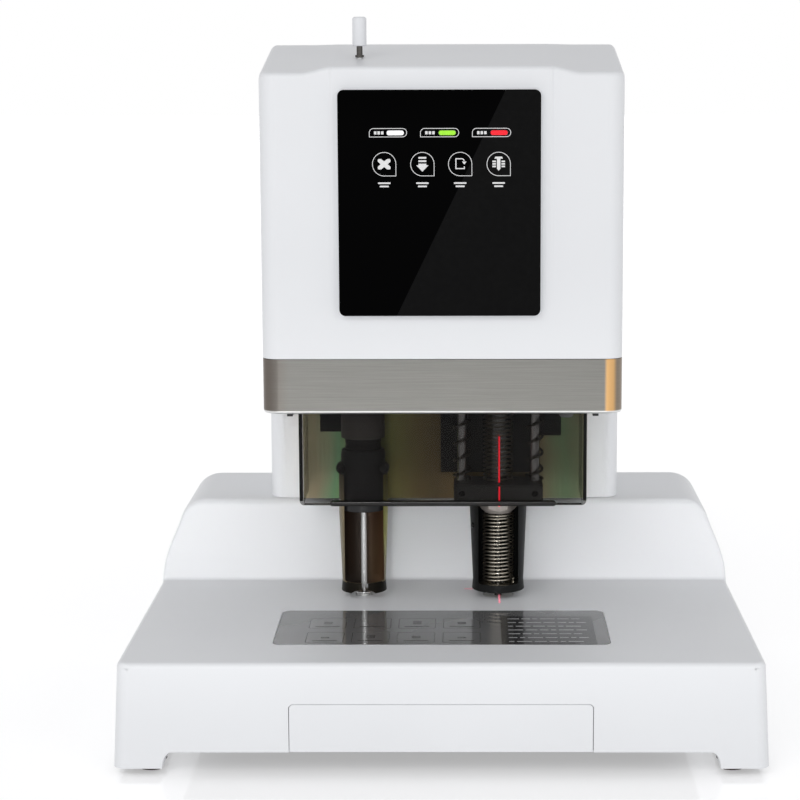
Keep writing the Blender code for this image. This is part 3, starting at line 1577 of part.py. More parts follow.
def build_drill_unit():
    build_rails()
    build_lift_motor("drill_lift_motor", DRILL_SCREW_X)
    carriage = build_carriage()
    screw = build_screw("drill_lift_screw", DRILL_SCREW_X, ARM_TOP)
    motor = build_drill_motor()
    rods = [
        build_rod("guide_rod_left", DRILL_X - ROD_OFFSET),
        build_rod("guide_rod_right", DRILL_X + ROD_OFFSET),
    ]
    foot_top = FOOT_BLOCK_BOTTOM + FOOT_BLOCK_HEIGHT
    shelf = CARRIAGE_TOP - SHELF_THICK
    axis = (DRILL_X, AXIS_Y)
    main = build_spring(
        "foot_main_spring", axis, MAIN_COIL, MAIN_WIRE, MAIN_CURLS, foot_top, shelf, dark_steel()
    )
    sides = []
    for name, side in (("left", -1), ("right", 1)):
        place = (DRILL_X + side * ROD_OFFSET, AXIS_Y)
        spring = "rod_spring_" + name
        sides.append(
            build_spring(spring, place, ROD_COIL, ROD_WIRE, ROD_CURLS, foot_top, shelf, dark_steel())
        )
    spindle, bit = build_spindle()
    block, guard, nut = build_foot_block(), build_drill_guard(), build_nut()
    chip = build_spring(
        "chip_spring", axis, CHIP_COIL, CHIP_WIRE, CHIP_CURLS, SILL_TOP, NUT_BOTTOM, bright_steel()
    )
    lift = carrier("drill_carrier", (DRILL_X, AXIS_Y, CARRIAGE_TOP))
    foot = carrier("press_foot_carrier", (DRILL_X, AXIS_Y, FOOT_BLOCK_BOTTOM))
    turning = carrier("spindle_carrier", (DRILL_X, AXIS_Y, SPINDLE_END))
    carry(lift, carriage, screw, motor, *rods, main, *sides)
    carry(foot, block, guard, nut, chip, parent=lift)
    carry(turning, spindle, bit, parent=lift)


# Rivet unit


def build_rivet_carriage():
    back = FRAME_FRONT_Y - SEAT - RAIL_DEPTH - SEAT
    front = back - CARRIAGE_PLATE
    plate = box(
        "rivet_carriage",
        (RIVET_PLATE_LEFT, front, RIVET_PLATE_BOTTOM),
        (RIVET_PLATE_RIGHT, back, RIVET_PLATE_TOP),
        black_plastic(),
    )
    clamp = box(
        "cylinder_clamp",
        (CLAMP_LEFT, CLAMP_FRONT_Y, CLAMP_BOTTOM),
        (CLAMP_RIGHT, back - SEAT, CLAMP_TOP),
        None,
    )
    fuse(plate, clamp)
    low, high = CLAMP_BOTTOM - OVERRUN, CLAMP_TOP + OVERRUN
    bore = post("clamp_bore", CYLINDER_RADIUS + SEAT, (RIVET_X, AXIS_Y), low, high, None)
    cut(plate, bore)
    return plate


def build_rivet_cylinder():
    """The punch's cylinder, necked in below to the steel collar."""
    bore = PLUNGER_RADIUS + SLIDE_FIT
    profile = (
        (bore, COLLAR_BOTTOM),
        (COLLAR_RADIUS, COLLAR_BOTTOM),
        (COLLAR_RADIUS, CYLINDER_BOTTOM),
        (CYLINDER_RADIUS, CYLINDER_BOTTOM),
        (CYLINDER_RADIUS, CYLINDER_TOP),
        (bore, CYLINDER_TOP),
    )
    return turned("rivet_cylinder", profile, (RIVET_X, AXIS_Y, 0), grey_plastic(), ROUND)


def build_sleeve():
    """The black sleeve with a clamp lug on each side."""
    top = COLLAR_BOTTOM - SEAT
    profile = (
        (SLEEVE_BORE, SLEEVE_BOTTOM),
        (SLEEVE_RADIUS, SLEEVE_BOTTOM),
        (SLEEVE_RADIUS, top),
        (SLEEVE_BORE, top),
    )
    sleeve = turned("rivet_sleeve", profile, (RIVET_X, AXIS_Y, 0), black_plastic(), ROUND)
    lugs, holes = [], []
    rear = LUG_FRONT_Y + LUG_DEPTH
    for side in (-1, 1):
        place = (RIVET_X + side * LUG_OFFSET, 0, LUG_Z)
        lug = ((0, LUG_FRONT_Y), (LUG_RADIUS, LUG_FRONT_Y), (LUG_RADIUS, rear), (0, rear))
        lugs.append(turned(f"sleeve_lug_{side}", lug, place, None, SMALL_ROUND, "Y"))
        radius = CLAMP_SCREW_RADIUS + SEAT
        start = LUG_FRONT_Y - OVERRUN
        end = LUG_FRONT_Y + CLAMP_SCREW_LENGTH + SEAT
        hole = ((0, start), (radius, start), (radius, end), (0, end))
        holes.append(turned(f"sleeve_hole_{side}", hole, place, None, 12, "Y"))
    fuse(sleeve, *lugs)
    low, high = LUG_Z - 2 * LUG_RADIUS, LUG_Z + 2 * LUG_RADIUS
    inside = post("sleeve_bore", SLEEVE_BORE, (RIVET_X, AXIS_Y), low, high, None)
    cut(sleeve, inside, *holes)
    screws = []
    for name, side in (("left", -1), ("right", 1)):
        head = LUG_FRONT_Y - SEAT
        end = LUG_FRONT_Y + CLAMP_SCREW_LENGTH
        screw = (
            (0, head - CLAMP_SCREW_HEAD),
            (CLAMP_SCREW_HEAD_RADIUS, head - CLAMP_SCREW_HEAD),
            (CLAMP_SCREW_HEAD_RADIUS, head),
            (CLAMP_SCREW_RADIUS, head),
            (CLAMP_SCREW_RADIUS, end),
            (0, end),
        )
        place = (RIVET_X + side * LUG_OFFSET, 0, LUG_Z)
        screws.append(turned("sleeve_screw_" + name, screw, place, bright_steel(), 12, "Y"))
    return [sleeve, *screws]


def build_rivet_guard():
    """The zinc-plated guard: a tube that tapers to a neck and flares at its foot, open in front.

    The sill below its opening has a gap that lets the rivet tube in, and widens to an arch.
    """
    neck, foot, top = CHEEK_NECK_RADIUS, CHEEK_FOOT_RADIUS, CHEEK_TOP_RADIUS
    bore = SLEEVE_RADIUS + SEAT
    profile = (
        (foot - CHEEK_WALL, CHEEK_BOTTOM),
        (foot, CHEEK_BOTTOM),
        (neck, CHEEK_NECK_Z),
        (top, CHEEK_SHOULDER_Z),
        (top, CHEEK_TOP),
        (bore, CHEEK_TOP),
        (bore, CHEEK_SHOULDER_Z),
        (neck - CHEEK_WALL, CHEEK_NECK_Z),
    )
    guard = turned("rivet_guard", profile, (RIVET_X, AXIS_Y, 0), zinc_plate(), CHEEK_ROUND)
    front = AXIS_Y - foot - OVERRUN
    half = top * math.sin(CHEEK_OPENING)
    window = box(
        "guard_opening",
        (RIVET_X - half, AXIS_Y - top - OVERRUN, CHEEK_SILL_TOP),
        (RIVET_X + half, AXIS_Y - top * math.cos(CHEEK_OPENING), CHEEK_TOP + OVERRUN),
        None,
    )
    gap = box(
        "guard_gap",
        (RIVET_X - NOTCH_SLOT_HALF_WIDTH, front, CHEEK_BOTTOM - OVERRUN),
        (RIVET_X + NOTCH_SLOT_HALF_WIDTH, AXIS_Y, CHEEK_SILL_TOP + OVERRUN),
        None,
    )
    arch = (NOTCH_HALF_WIDTH ** 2 + NOTCH_HEIGHT ** 2) / (2 * NOTCH_HEIGHT)
    notch = turned(
        "guard_notch",
        ((0, front), (arch, front), (arch, AXIS_Y), (0, AXIS_Y)),
        (RIVET_X, 0, CHEEK_BOTTOM + NOTCH_HEIGHT - arch),
        None,
        ROUND,
        "Y",
    )
    slots = []
    for side in (-1, 1):
        near, far = SLEEVE_BORE / 2, CHEEK_TOP_RADIUS + OVERRUN
        low, high = sorted((RIVET_X + side * near, RIVET_X + side * far))
        slots.append(
            box(
                f"guard_slot_{side}",
                (low, LUG_FRONT_Y - OVERRUN, LUG_Z - LUG_RADIUS - SEAT),
                (high, LUG_FRONT_Y + LUG_DEPTH + SEAT, LUG_Z + LUG_RADIUS + SEAT),
                None,
            )
        )
    cut(guard, window, gap, notch, *slots)
    return guard


def build_punch():
    bore = NEEDLE_BORE_RADIUS
    taper = PUNCH_RADIUS - bore
    profile = (
        (bore, PUNCH_BOTTOM),
        (PUNCH_RADIUS - taper / 4, PUNCH_BOTTOM),
        (PUNCH_RADIUS, PUNCH_BOTTOM + taper / 2),
        (PUNCH_RADIUS, PLUNGER_BOTTOM),
        (PLUNGER_RADIUS, PLUNGER_BOTTOM),
        (PLUNGER_RADIUS, PLUNGER_TOP),
        (bore, PLUNGER_TOP),
    )
    return turned("rivet_punch", profile, (RIVET_X, AXIS_Y, 0), bright_steel(), ROUND)


def build_needle():
    """The long needle that carries the rivet tube, with its taper below and its knob on top."""
    collar_top = NEEDLE_COLLAR_Z + NEEDLE_COLLAR_HEIGHT
    profile = (
        (0, NEEDLE_END),
        (NEEDLE_TIP_RADIUS, NEEDLE_END),
        (NEEDLE_RADIUS, NEEDLE_END + NEEDLE_TAPER),
        (NEEDLE_RADIUS, NEEDLE_COLLAR_Z),
        (NEEDLE_COLLAR_RADIUS, NEEDLE_COLLAR_Z),
        (NEEDLE_COLLAR_RADIUS, collar_top),
        (NEEDLE_RADIUS, collar_top),
        (NEEDLE_RADIUS, NEEDLE_TOP),
        (0, NEEDLE_TOP),
    )
    needle = turned("rivet_needle", profile, (RIVET_X, AXIS_Y, 0), bright_steel(), SMALL_ROUND)
    bore = NEEDLE_RADIUS + SEAT
    roof = KNOB_BOTTOM + KNOB_BORE_DEPTH
    knob = turned(
        "needle_knob",
        (
            (0, roof),
            (bore, roof),
            (bore, KNOB_BOTTOM),
            (KNOB_RADIUS - KNOB_EDGE / 2, KNOB_BOTTOM),
            (KNOB_RADIUS, KNOB_BOTTOM + KNOB_EDGE / 2),
            (KNOB_RADIUS, KNOB_TOP - KNOB_EDGE),
            (KNOB_RADIUS - KNOB_EDGE, KNOB_TOP),
            (0, KNOB_TOP),
        ),
        (RIVET_X, AXIS_Y, 0),
        white_plastic(),
        24,
    )
    return needle, knob


def build_rivet_unit():
    build_lift_motor("rivet_lift_motor", RIVET_SCREW_X)
    carriage = build_rivet_carriage()
    screw = build_screw("rivet_lift_screw", RIVET_SCREW_X, CLAMP_TOP + SEAT)
    cylinder = build_rivet_cylinder()
    sleeve_parts = build_sleeve()
    guard = build_rivet_guard()
    punch = build_punch()
    needle, knob = build_needle()
    head = carrier("rivet_head_carrier", (RIVET_X, AXIS_Y, CLAMP_BOTTOM))
    press = carrier("punch_carrier", (RIVET_X, AXIS_Y, PUNCH_BOTTOM))
    pull = carrier("needle_carrier", (RIVET_X, AXIS_Y, KNOB_BOTTOM))
    carry(head, carriage, screw, cylinder, *sleeve_parts, guard)
    carry(press, punch, parent=head)
    carry(pull, needle, knob)


# Laser and mains


def build_laser():
    top = LASER_BOTTOM + LASER_LENGTH
    edge = LASER_RADIUS / 5
    profile = (
        (0, LASER_BOTTOM),
        (LASER_RADIUS - edge, LASER_BOTTOM),
        (LASER_RADIUS, LASER_BOTTOM + edge),
        (LASER_RADIUS, top),
        (0, top),
    )
    turned("laser_module", profile, (LASER_X, LASER_Y, 0), white_plastic(), SMALL_ROUND)


def build_entry():
    """The mains inlet with its switch well, let into the rear wall, and the rocker in the well."""
    front = HALF_DEPTH - SEAT
    low = (ENTRY_X - ENTRY_WIDTH / 2, front - ENTRY_DEPTH, ENTRY_Z - ENTRY_HEIGHT / 2)
    high = (ENTRY_X + ENTRY_WIDTH / 2, front, ENTRY_Z + ENTRY_HEIGHT / 2)
    entry = box("power_inlet", low, high, black_plastic())
    socket_x = ENTRY_X + SOCKET_OFFSET
    socket = box(
        "socket_well",
        (socket_x - SOCKET_WIDTH / 2, front - SOCKET_DEPTH, ENTRY_Z - SOCKET_HEIGHT / 2),
        (socket_x + SOCKET_WIDTH / 2, front + OVERRUN, ENTRY_Z + SOCKET_HEIGHT / 2),
        None,
    )
    rocker_x = ENTRY_X + ROCKER_OFFSET
    axis_y = front - ROCKER_AXIS_INSET
    well = box(
        "rocker_well",
        (rocker_x - ROCKER_WIDTH / 2 - SEAT, axis_y - ROCKER_REACH, ENTRY_Z - ROCKER_REACH),
        (rocker_x + ROCKER_WIDTH / 2 + SEAT, front + OVERRUN, ENTRY_Z + ROCKER_REACH),
        None,
    )
    cut(entry, socket, well)
    pins = []
    for k in (-1, 0, 1):
        x = socket_x + k * SOCKET_PIN_PITCH
        z = ENTRY_Z + SOCKET_PIN_HEIGHT / 2 * (1 if k == 0 else -1)
        pins.append(
            box(
                f"socket_pin_{k}",
                (x - SOCKET_PIN_WIDTH / 2, front - SOCKET_DEPTH - OVERRUN / 2, z - SOCKET_PIN_HEIGHT / 2),
                (x + SOCKET_PIN_WIDTH / 2, front - OVERRUN / 2, z + SOCKET_PIN_HEIGHT / 2),
                None,
            )
        )
    fuse(entry, *pins)
    outline = [
        (-ROCKER_BACK, -ROCKER_HALF_HEIGHT),
        (ROCKER_PROUD, -ROCKER_HALF_HEIGHT),
        (ROCKER_VALLEY, 0.0),
        (ROCKER_PROUD, ROCKER_HALF_HEIGHT),
        (-ROCKER_BACK, ROCKER_HALF_HEIGHT),
    ]
    turn_cos, turn_sin = math.cos(ROCKER_TILT), math.sin(ROCKER_TILT)
    placed = [
        (axis_y + y * turn_cos - z * turn_sin, ENTRY_Z + y * turn_sin + z * turn_cos) for y, z in outline
    ]
    rocker = slab(
        "power_rocker", placed, rocker_x - ROCKER_WIDTH / 2, rocker_x + ROCKER_WIDTH / 2, black_plastic(), "X"
    )
    carry(carrier("rocker_carrier", (rocker_x, axis_y, ENTRY_Z)), rocker)


def build_supply():
    base = PAN_TOP + SEAT
    box(
        "power_supply",
        (SUPPLY_LEFT, SUPPLY_REAR_Y - SUPPLY_DEPTH, base),
        (SUPPLY_RIGHT, SUPPLY_REAR_Y, base + SUPPLY_HEIGHT),
        bright_steel(),
        CAST_EDGE,
    )


def main():
    for obj in list(bpy.data.objects):
        bpy.data.objects.remove(obj, do_unlink=True)
    build_base()
    build_pan()
    build_feet()
    build_drawer()
    build_mat()
    build_drill_pad()
    build_anvil()
    build_column()
    build_frame()
    build_band()
    build_floor()
    build_pivots()
    build_head_shell()
    build_back_cover()
    build_panel()
    build_cover()
    build_drill_unit()
    build_rivet_unit()
    build_laser()
    build_entry()
    build_supply()


main()
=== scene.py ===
"""Looks of the rivet binding machine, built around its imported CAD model.

Metres, +Z up, front towards -Y, in the frame's own place.
"""

import math

import bmesh
import bpy
from mathutils import Matrix, Vector


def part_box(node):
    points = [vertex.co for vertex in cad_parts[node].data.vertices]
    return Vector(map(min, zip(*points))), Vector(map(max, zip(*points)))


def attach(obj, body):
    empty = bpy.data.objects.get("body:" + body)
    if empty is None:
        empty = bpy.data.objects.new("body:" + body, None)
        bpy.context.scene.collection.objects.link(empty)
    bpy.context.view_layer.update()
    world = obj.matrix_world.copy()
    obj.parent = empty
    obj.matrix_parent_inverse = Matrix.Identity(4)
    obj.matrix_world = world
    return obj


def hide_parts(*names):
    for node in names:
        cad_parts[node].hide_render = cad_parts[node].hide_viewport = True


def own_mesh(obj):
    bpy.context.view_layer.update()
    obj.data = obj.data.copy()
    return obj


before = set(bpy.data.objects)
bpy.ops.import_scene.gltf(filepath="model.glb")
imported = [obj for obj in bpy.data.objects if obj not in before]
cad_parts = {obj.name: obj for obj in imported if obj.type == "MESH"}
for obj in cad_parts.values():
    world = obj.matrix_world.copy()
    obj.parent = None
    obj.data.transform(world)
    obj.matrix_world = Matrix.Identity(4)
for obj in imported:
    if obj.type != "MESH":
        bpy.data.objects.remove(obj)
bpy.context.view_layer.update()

# Sizes that the CAD model shares
SEAT = 0.0003
HALF_DEPTH = 0.175
DECK_WIDTH = 0.420
SKIRT_WIDTH = 0.427
DECK_HEIGHT = 0.076
SKIRT_GAP = 0.0055
ARCH_HEIGHT = 0.0165
BASE_WALL = 0.003
DECK_WALL = 0.004
BASE_CORNER = 0.008
DECK_EDGE = 0.0035
HUMP_HEIGHT = 0.134
HUMP_FOOT_Y = 0.052
HUMP_LEAN = 0.016
HUMP_FOOT_FILLET = 0.003
HUMP_TOP_FILLET = 0.006
HUMP_CORNER = 0.018
HUMP_SIDE_LEAN = math.radians(15.1)
AXIS_Y = 0.008
DRILL_X = 0.0395
RIVET_X = -0.0575
HEAD_WIDTH = 0.2516
HEAD_FRONT_Y = -0.0316
HEAD_REAR_Y = 0.165
HEAD_BOTTOM = 0.215
BAND_HEIGHT = 0.0384
BAND_WALL = 0.002
HEAD_CORNER = 0.012
HEAD_EDGE = 0.004
HEAD_WALL = 0.003
HEAD_FRONT_TOP = 0.4508
HEAD_REAR_DROP = 0.006
HEAD_CREST = 0.0192
HEAD_CREST_Y = 0.086
CREST_SHARE = 0.2
RAISE_HEIGHT = 0.0042
RAISE_PROUD = 0.0010
RAISE_HALF_WIDTH = 0.0745
RAISE_SHOULDER = 0.022
RAISE_FADE_Z = 0.275
COLUMN_CORNER = 0.012
COLUMN_WALL = 0.003
PLATE_CORNER = 0.0057
COVER_FRONT_Y = -0.0176
COVER_WALL = 0.003
COVER_CORNER = 0.004
NUT_APOTHEM = 0.012
ROD_OFFSET = 0.026
FOOT_TOP = 0.160
SHELF = 0.262
CLAMP_SCREW_Z = 0.1535
SLEEVE_SCREW_Z = 0.171
SLEEVE_BORE = 0.0125
TUBE_NECK_Z = 0.088
ENTRY_Z = 0.048
ROCKER_TILT = math.radians(7)

# Sizes that only the looks use
ARCH_TOP_WIDTH = 0.3500
ARCH_FOOT_WIDTH = 0.3628
LEG_LINING = 0.0016
LINING_HALF_WIDTH = 0.1685
LASER_X = 0.0401
PRINT_Z = 0.3890
CLEAR = 0.004
HALF_PI = math.pi / 2

# materials


class Nodes:
    """Short ways to add nodes to a tree and to feed their sockets."""

    def __init__(self, tree):
        self.tree = tree

    def link(self, socket, value):
        if isinstance(value, bpy.types.NodeSocket):
            self.tree.links.new(value, socket)
        else:
            socket.default_value = value

    def feed(self, node, **inputs):
        for key, value in inputs.items():
            self.link(node.inputs[key.replace("_", " ")], value)

    def node(self, kind, **inputs):
        made = self.tree.nodes.new(kind)
        self.feed(made, **inputs)
        return made

    def ramp(self, value, stops, smooth=False):
        made = self.node("ShaderNodeValToRGB", Fac=value)
        ramp = made.color_ramp
        if smooth:
            ramp.interpolation = "EASE"
        while len(ramp.elements) < len(stops):
            ramp.elements.new(0.5)
        for element, (at, colour) in zip(ramp.elements, stops):
            element.position = at
            if not isinstance(colour, tuple):
                colour = (colour,) * 3
            element.color = (*colour, 1.0)
        return made.outputs["Color"]

    def maths(self, operation, *values):
        made = self.node("ShaderNodeMath")
        made.operation = operation
        for socket, value in zip(made.inputs, values):
            self.link(socket, value)
        return made.outputs[0]


class Paint(Nodes):
    """A Principled material with noise and gradients in the object's own coordinates."""

    def __init__(self, name, colour, roughness, **sockets):
        self.material = bpy.data.materials.new(name)
        self.material.use_nodes = True
        super().__init__(self.material.node_tree)
        self.shader = self.tree.nodes["Principled BSDF"]
        self.set(Base_Color=(*colour, 1.0), Roughness=roughness, **sockets)
        self.place = self.node("ShaderNodeTexCoord").outputs["Object"]

    def set(self, **sockets):
        self.feed(self.shader, **sockets)

    def noise(self, scale, detail=3.0, stretch=(1, 1, 1), roughness=0.5):
        place = self.node("ShaderNodeMapping", Vector=self.place, Scale=stretch).outputs[0]
        sockets = {"Vector": place, "Scale": scale, "Detail": detail, "Roughness": roughness}
        return self.node("ShaderNodeTexNoise", **sockets).outputs["Fac"]

    def fade(self, value, dark, light, start=0.3):
        """From dark to light over the middle of a value's range."""
        return self.ramp(value, ((start, dark), (1 - start, light)))

    def mix(self, factor, first, second, blend="MIX"):
        made = self.node("ShaderNodeMix")
        made.data_type = "RGBA"
        made.blend_type = blend
        for index, value in ((0, factor), (6, first), (7, second)):
            self.link(made.inputs[index], (*value, 1.0) if isinstance(value, tuple) else value)
        return made.outputs[2]

    def coordinate(self, axis):
        return self.node("ShaderNodeSeparateXYZ", Vector=self.place).outputs[axis]

    def span(self, value, low, high):
        """Zero at low, one at high, and held there."""
        return self.node("ShaderNodeMapRange", Value=value, From_Min=low, From_Max=high).outputs[0]

    def rough(self, value, low, high):
        self.set(Roughness=self.node("ShaderNodeMapRange", Value=value, To_Min=low, To_Max=high).outputs[0])

    def bump(self, value, distance, strength=0.3):
        made = self.node("ShaderNodeBump", Height=value, Strength=strength, Distance=distance)
        self.set(Normal=made.outputs["Normal"])


def shades(colour, spread):
    """A colour made a little darker, and a little lighter."""
    return tuple(c * (1 - spread) for c in colour), tuple(min(1.0, c * (1 + spread)) for c in colour)


def moulded(name, colour, roughness, grain, depth, spread=0.02, **sockets):
    """Plastic with a spark-eroded grain and a slight change of tone."""
    paint = Paint(name, colour, roughness, **sockets)
    paint.set(Base_Color=paint.fade(paint.noise(9.0, 2.0), *shades(colour, spread)))
    fine = paint.noise(grain, 2.0)
    paint.rough(fine, roughness - 0.05, roughness + 0.05)
    paint.bump(fine, depth, 0.35)
    return paint.material


def metal(name, colour, roughness, stretch, scale=220.0, spread=0.12, depth=0.00002, metallic=1.0):
    """Metal with fine streaks; stretch says along which axes they run."""
    paint = Paint(name, colour, roughness, Metallic=metallic)
    streak = paint.noise(scale, 4.0, stretch, 0.6)
    cloud = paint.noise(14.0, 2.0)
    both = paint.maths("ADD", paint.maths("MULTIPLY", streak, 0.7), paint.maths("MULTIPLY", cloud, 0.3))
    paint.set(Base_Color=paint.fade(both, *shades(colour, spread)))
    paint.rough(streak, max(0.02, roughness - 0.08), roughness + 0.08)
    paint.bump(streak, depth)
    return paint.material


def brushed_band():
    """Brushed stainless: fine lines along the band; painted shade makes it brown at its left end, a painted
    orange reflection warms its right front corner, and a painted highlight lightens its bottom edge.
    """
    paint = Paint("brushed_band", (0.30, 0.295, 0.27), 0.34, Metallic=1.0)
    streak = paint.noise(60.0, 5.0, (0.35, 0.35, 42.0), 0.7)
    wide = paint.noise(7.0, 2.0, (1.0, 1.0, 6.0))
    tones = ((0.25, (0.145, 0.143, 0.133)), (0.5, (0.186, 0.184, 0.172)), (0.8, (0.230, 0.228, 0.214)))
    lines = paint.ramp(streak, tones)
    patches = paint.mix(paint.ramp(wide, ((0.35, 0.0), (0.75, 0.35))), lines, (0.205, 0.201, 0.188))
    x = paint.coordinate("X")
    # Painted shade: darker and browner towards the band's left end.
    left = paint.maths("MULTIPLY", paint.span(x, -0.1070, -0.1255), 0.85)
    left_end_shaded = paint.mix(left, patches, (0.15, 0.12, 0.10))
    # Painted orange reflection at the band's right front corner.
    swell = ((0.0, 0.0), (0.28, 1.0), (0.62, 1.0), (0.95, 0.15))
    right = paint.ramp(paint.span(x, 0.1125, 0.1225), swell, smooth=True)
    front = paint.span(paint.coordinate("Y"), -0.018, -0.024)
    warm = paint.mix(paint.maths("MULTIPLY", right, front), left_end_shaded, (0.70, 0.42, 0.18))
    # Painted highlight: the band's bottom edge is made nearly white, standing in for light off the deck
    # below; anything lower, such as the lower die, takes this colour all over.
    painted_edge_highlight = paint.span(paint.coordinate("Z"), HEAD_BOTTOM + 0.0023, HEAD_BOTTOM + 0.0014)
    paint.set(Base_Color=paint.mix(painted_edge_highlight, warm, (0.80, 0.80, 0.79)))
    paint.rough(streak, 0.27, 0.42)
    paint.bump(streak, 0.00003, 0.35)
    return paint.material


def zinc_film():
    """Yellow zinc plate: drifting green, gold and pink film over rolled sheet."""
    paint = Paint("zinc_plate", (0.4, 0.36, 0.18), 0.36, Metallic=0.92)
    drift = paint.noise(16.0, 3.0, (1.0, 1.0, 0.55), 0.55)
    tones = (
        (0.20, 0.24, 0.13), (0.33, 0.33, 0.15), (0.42, 0.36, 0.17), (0.36, 0.30, 0.22),
        (0.26, 0.31, 0.19),
    )
    film = paint.ramp(drift, [(0.30 + 0.1 * k, tone) for k, tone in enumerate(tones)])
    streak = paint.noise(90.0, 4.0, (6.0, 6.0, 0.4), 0.6)
    paint.set(Base_Color=paint.mix(0.45, film, paint.fade(streak, 0.45, 1.0), "MULTIPLY"))
    paint.rough(paint.noise(40.0), 0.28, 0.48)
    paint.bump(streak, 0.00003)
    return paint.material


def plated_sheet():
    """The head's yellow zinc plate: green at its left and olive at its right, with painted shade laid on as
    dark brown in the middle, where the parts in front shade it.
    """
    paint = Paint("zinc_sheet", (0.4, 0.36, 0.18), 0.36, Metallic=0.9)
    drift = paint.noise(11.0, 3.0, (1.0, 1.0, 0.5), 0.55)
    x = paint.coordinate("X")
    x = paint.maths("ADD", x, paint.maths("MULTIPLY", paint.maths("SUBTRACT", drift, 0.5), 0.06))
    # Film tones along X; the dark brown stop in the middle is painted shade.
    tones = (
        (0.0, (0.62, 0.54, 0.38)), (0.05, (0.36, 0.66, 0.40)), (0.12, (0.46, 0.62, 0.22)),
        (0.24, (0.32, 0.31, 0.12)), (0.48, (0.17, 0.125, 0.070)), (0.66, (0.40, 0.27, 0.13)),
        (0.82, (0.40, 0.30, 0.20)), (0.91, (0.27, 0.40, 0.24)), (1.0, (0.46, 0.34, 0.25)),
    )
    along = paint.ramp(paint.span(x, -0.100, 0.100), tones)
    cloud = paint.noise(24.0, 3.0, (1.0, 1.0, 0.6), 0.5)
    tint = paint.ramp(cloud, ((0.3, (0.62, 0.78, 0.50)), (0.5, (1.0, 0.98, 0.80)), (0.7, (1.0, 0.80, 0.62))))
    film = paint.mix(0.55, along, tint, "MULTIPLY")
    streak = paint.noise(90.0, 4.0, (6.0, 6.0, 0.4), 0.6)
    paint.set(Base_Color=paint.mix(0.35, film, paint.fade(streak, 0.5, 1.0), "MULTIPLY"))
    paint.rough(cloud, 0.26, 0.42)
    paint.bump(streak, 0.00003)
    return paint.material


def guard_film():
    """Gold film on the rivet guard's outside; near the top of its right edge the colour is lighter and
    greener.
    """
    paint = Paint("guard_zinc", (0.3, 0.25, 0.14), 0.34, Metallic=0.85)
    cloud = paint.noise(30.0, 3.0, (1.0, 1.0, 0.4))
    gold = paint.fade(cloud, (0.17, 0.135, 0.075), (0.27, 0.22, 0.135))
    green = paint.fade(cloud, (0.34, 0.33, 0.08), (0.46, 0.44, 0.16))
    right = paint.span(paint.coordinate("X"), RIVET_X + 0.004, RIVET_X + 0.0135)
    high = paint.span(paint.coordinate("Z"), 0.098, 0.120)
    paint.set(Base_Color=paint.mix(paint.maths("MULTIPLY", right, high), gold, green))
    paint.rough(cloud, 0.26, 0.42)
    return paint.material


def guard_bore_shade():
    """Painted shade inside the rivet guard: far darker than its outside, lighter and redder towards its
    right.
    """
    paint = Paint("guard_bore_shade", (0.05, 0.04, 0.03), 0.42, Metallic=0.7)
    cloud = paint.noise(34.0, 3.0, (1.0, 1.0, 0.4))
    left = paint.fade(cloud, (0.034, 0.026, 0.022), (0.050, 0.038, 0.030))
    warm = paint.fade(cloud, (0.200, 0.093, 0.056), (0.250, 0.148, 0.066))
    paint.set(Base_Color=paint.mix(paint.span(paint.coordinate("X"), RIVET_X, RIVET_X + 0.014), left, warm))
    paint.rough(cloud, 0.36, 0.5)
    return paint.material


def glass_panel():
    """Black printed glass, with a painted reflection: lighter beyond a slanting line."""
    paint = Paint("panel_glass", (0.0006, 0.0006, 0.0008), 0.06, Specular_IOR_Level=0.02)
    x, z = paint.coordinate("X"), paint.coordinate("Z")
    # Painted reflection: the glass is made lighter on one side of a slanting line.
    slant = paint.maths("MULTIPLY", paint.maths("SUBTRACT", z, 0.28528), 0.48464)
    side = paint.span(paint.maths("SUBTRACT", x, slant), -0.03100, -0.03062)
    speck = paint.noise(300.0, 2.0)
    light = paint.fade(speck, (0.0052, 0.0052, 0.0053), (0.0064, 0.0064, 0.0065))
    paint.set(Base_Color=paint.mix(side, (0.0, 0.0, 0.0001), light))
    paint.rough(speck, 0.04, 0.08)
    return paint.material


def clouded(name, dark, light, roughness, scale, ends=None, grain=None, **sockets):
    """Clear or polished stuff with a faint cloud; ends is the range of its roughness."""
    paint = Paint(name, dark, roughness, **sockets)
    cloud = paint.noise(scale, 2.0)
    paint.set(Base_Color=paint.fade(cloud, dark, light))
    if ends:
        paint.rough(paint.noise(grain, 2.0) if grain else cloud, *ends)
    return paint.material


def speckled(name, colour, roughness, noise, dimming, start=0.35, strength=0.0, **sockets):
    """Print or light with a fine speckle; noise is its scale, detail and stretch."""
    paint = Paint(name, colour, roughness, **sockets)
    paint.set(Base_Color=paint.fade(paint.noise(*noise), tuple(c * dimming for c in colour), colour, start))
    if strength:
        paint.set(Emission_Color=(*colour, 1.0), Emission_Strength=strength)
    return paint.material


def lamp(name, colour, strength):
    return speckled(name, colour, 0.25, (900.0, 1.0, (1.0, 1.0, 0.1)), 0.85, 0.3, strength)


def ink(name, colour, roughness=0.45):
    return speckled(name, colour, roughness, (1500.0, 2.0), 0.92)


def light_line(name, colour, strength, alpha=1.0):
    return speckled(name, colour, 0.5, (1200.0, 2.0), 0.8, strength=strength, Alpha=alpha)


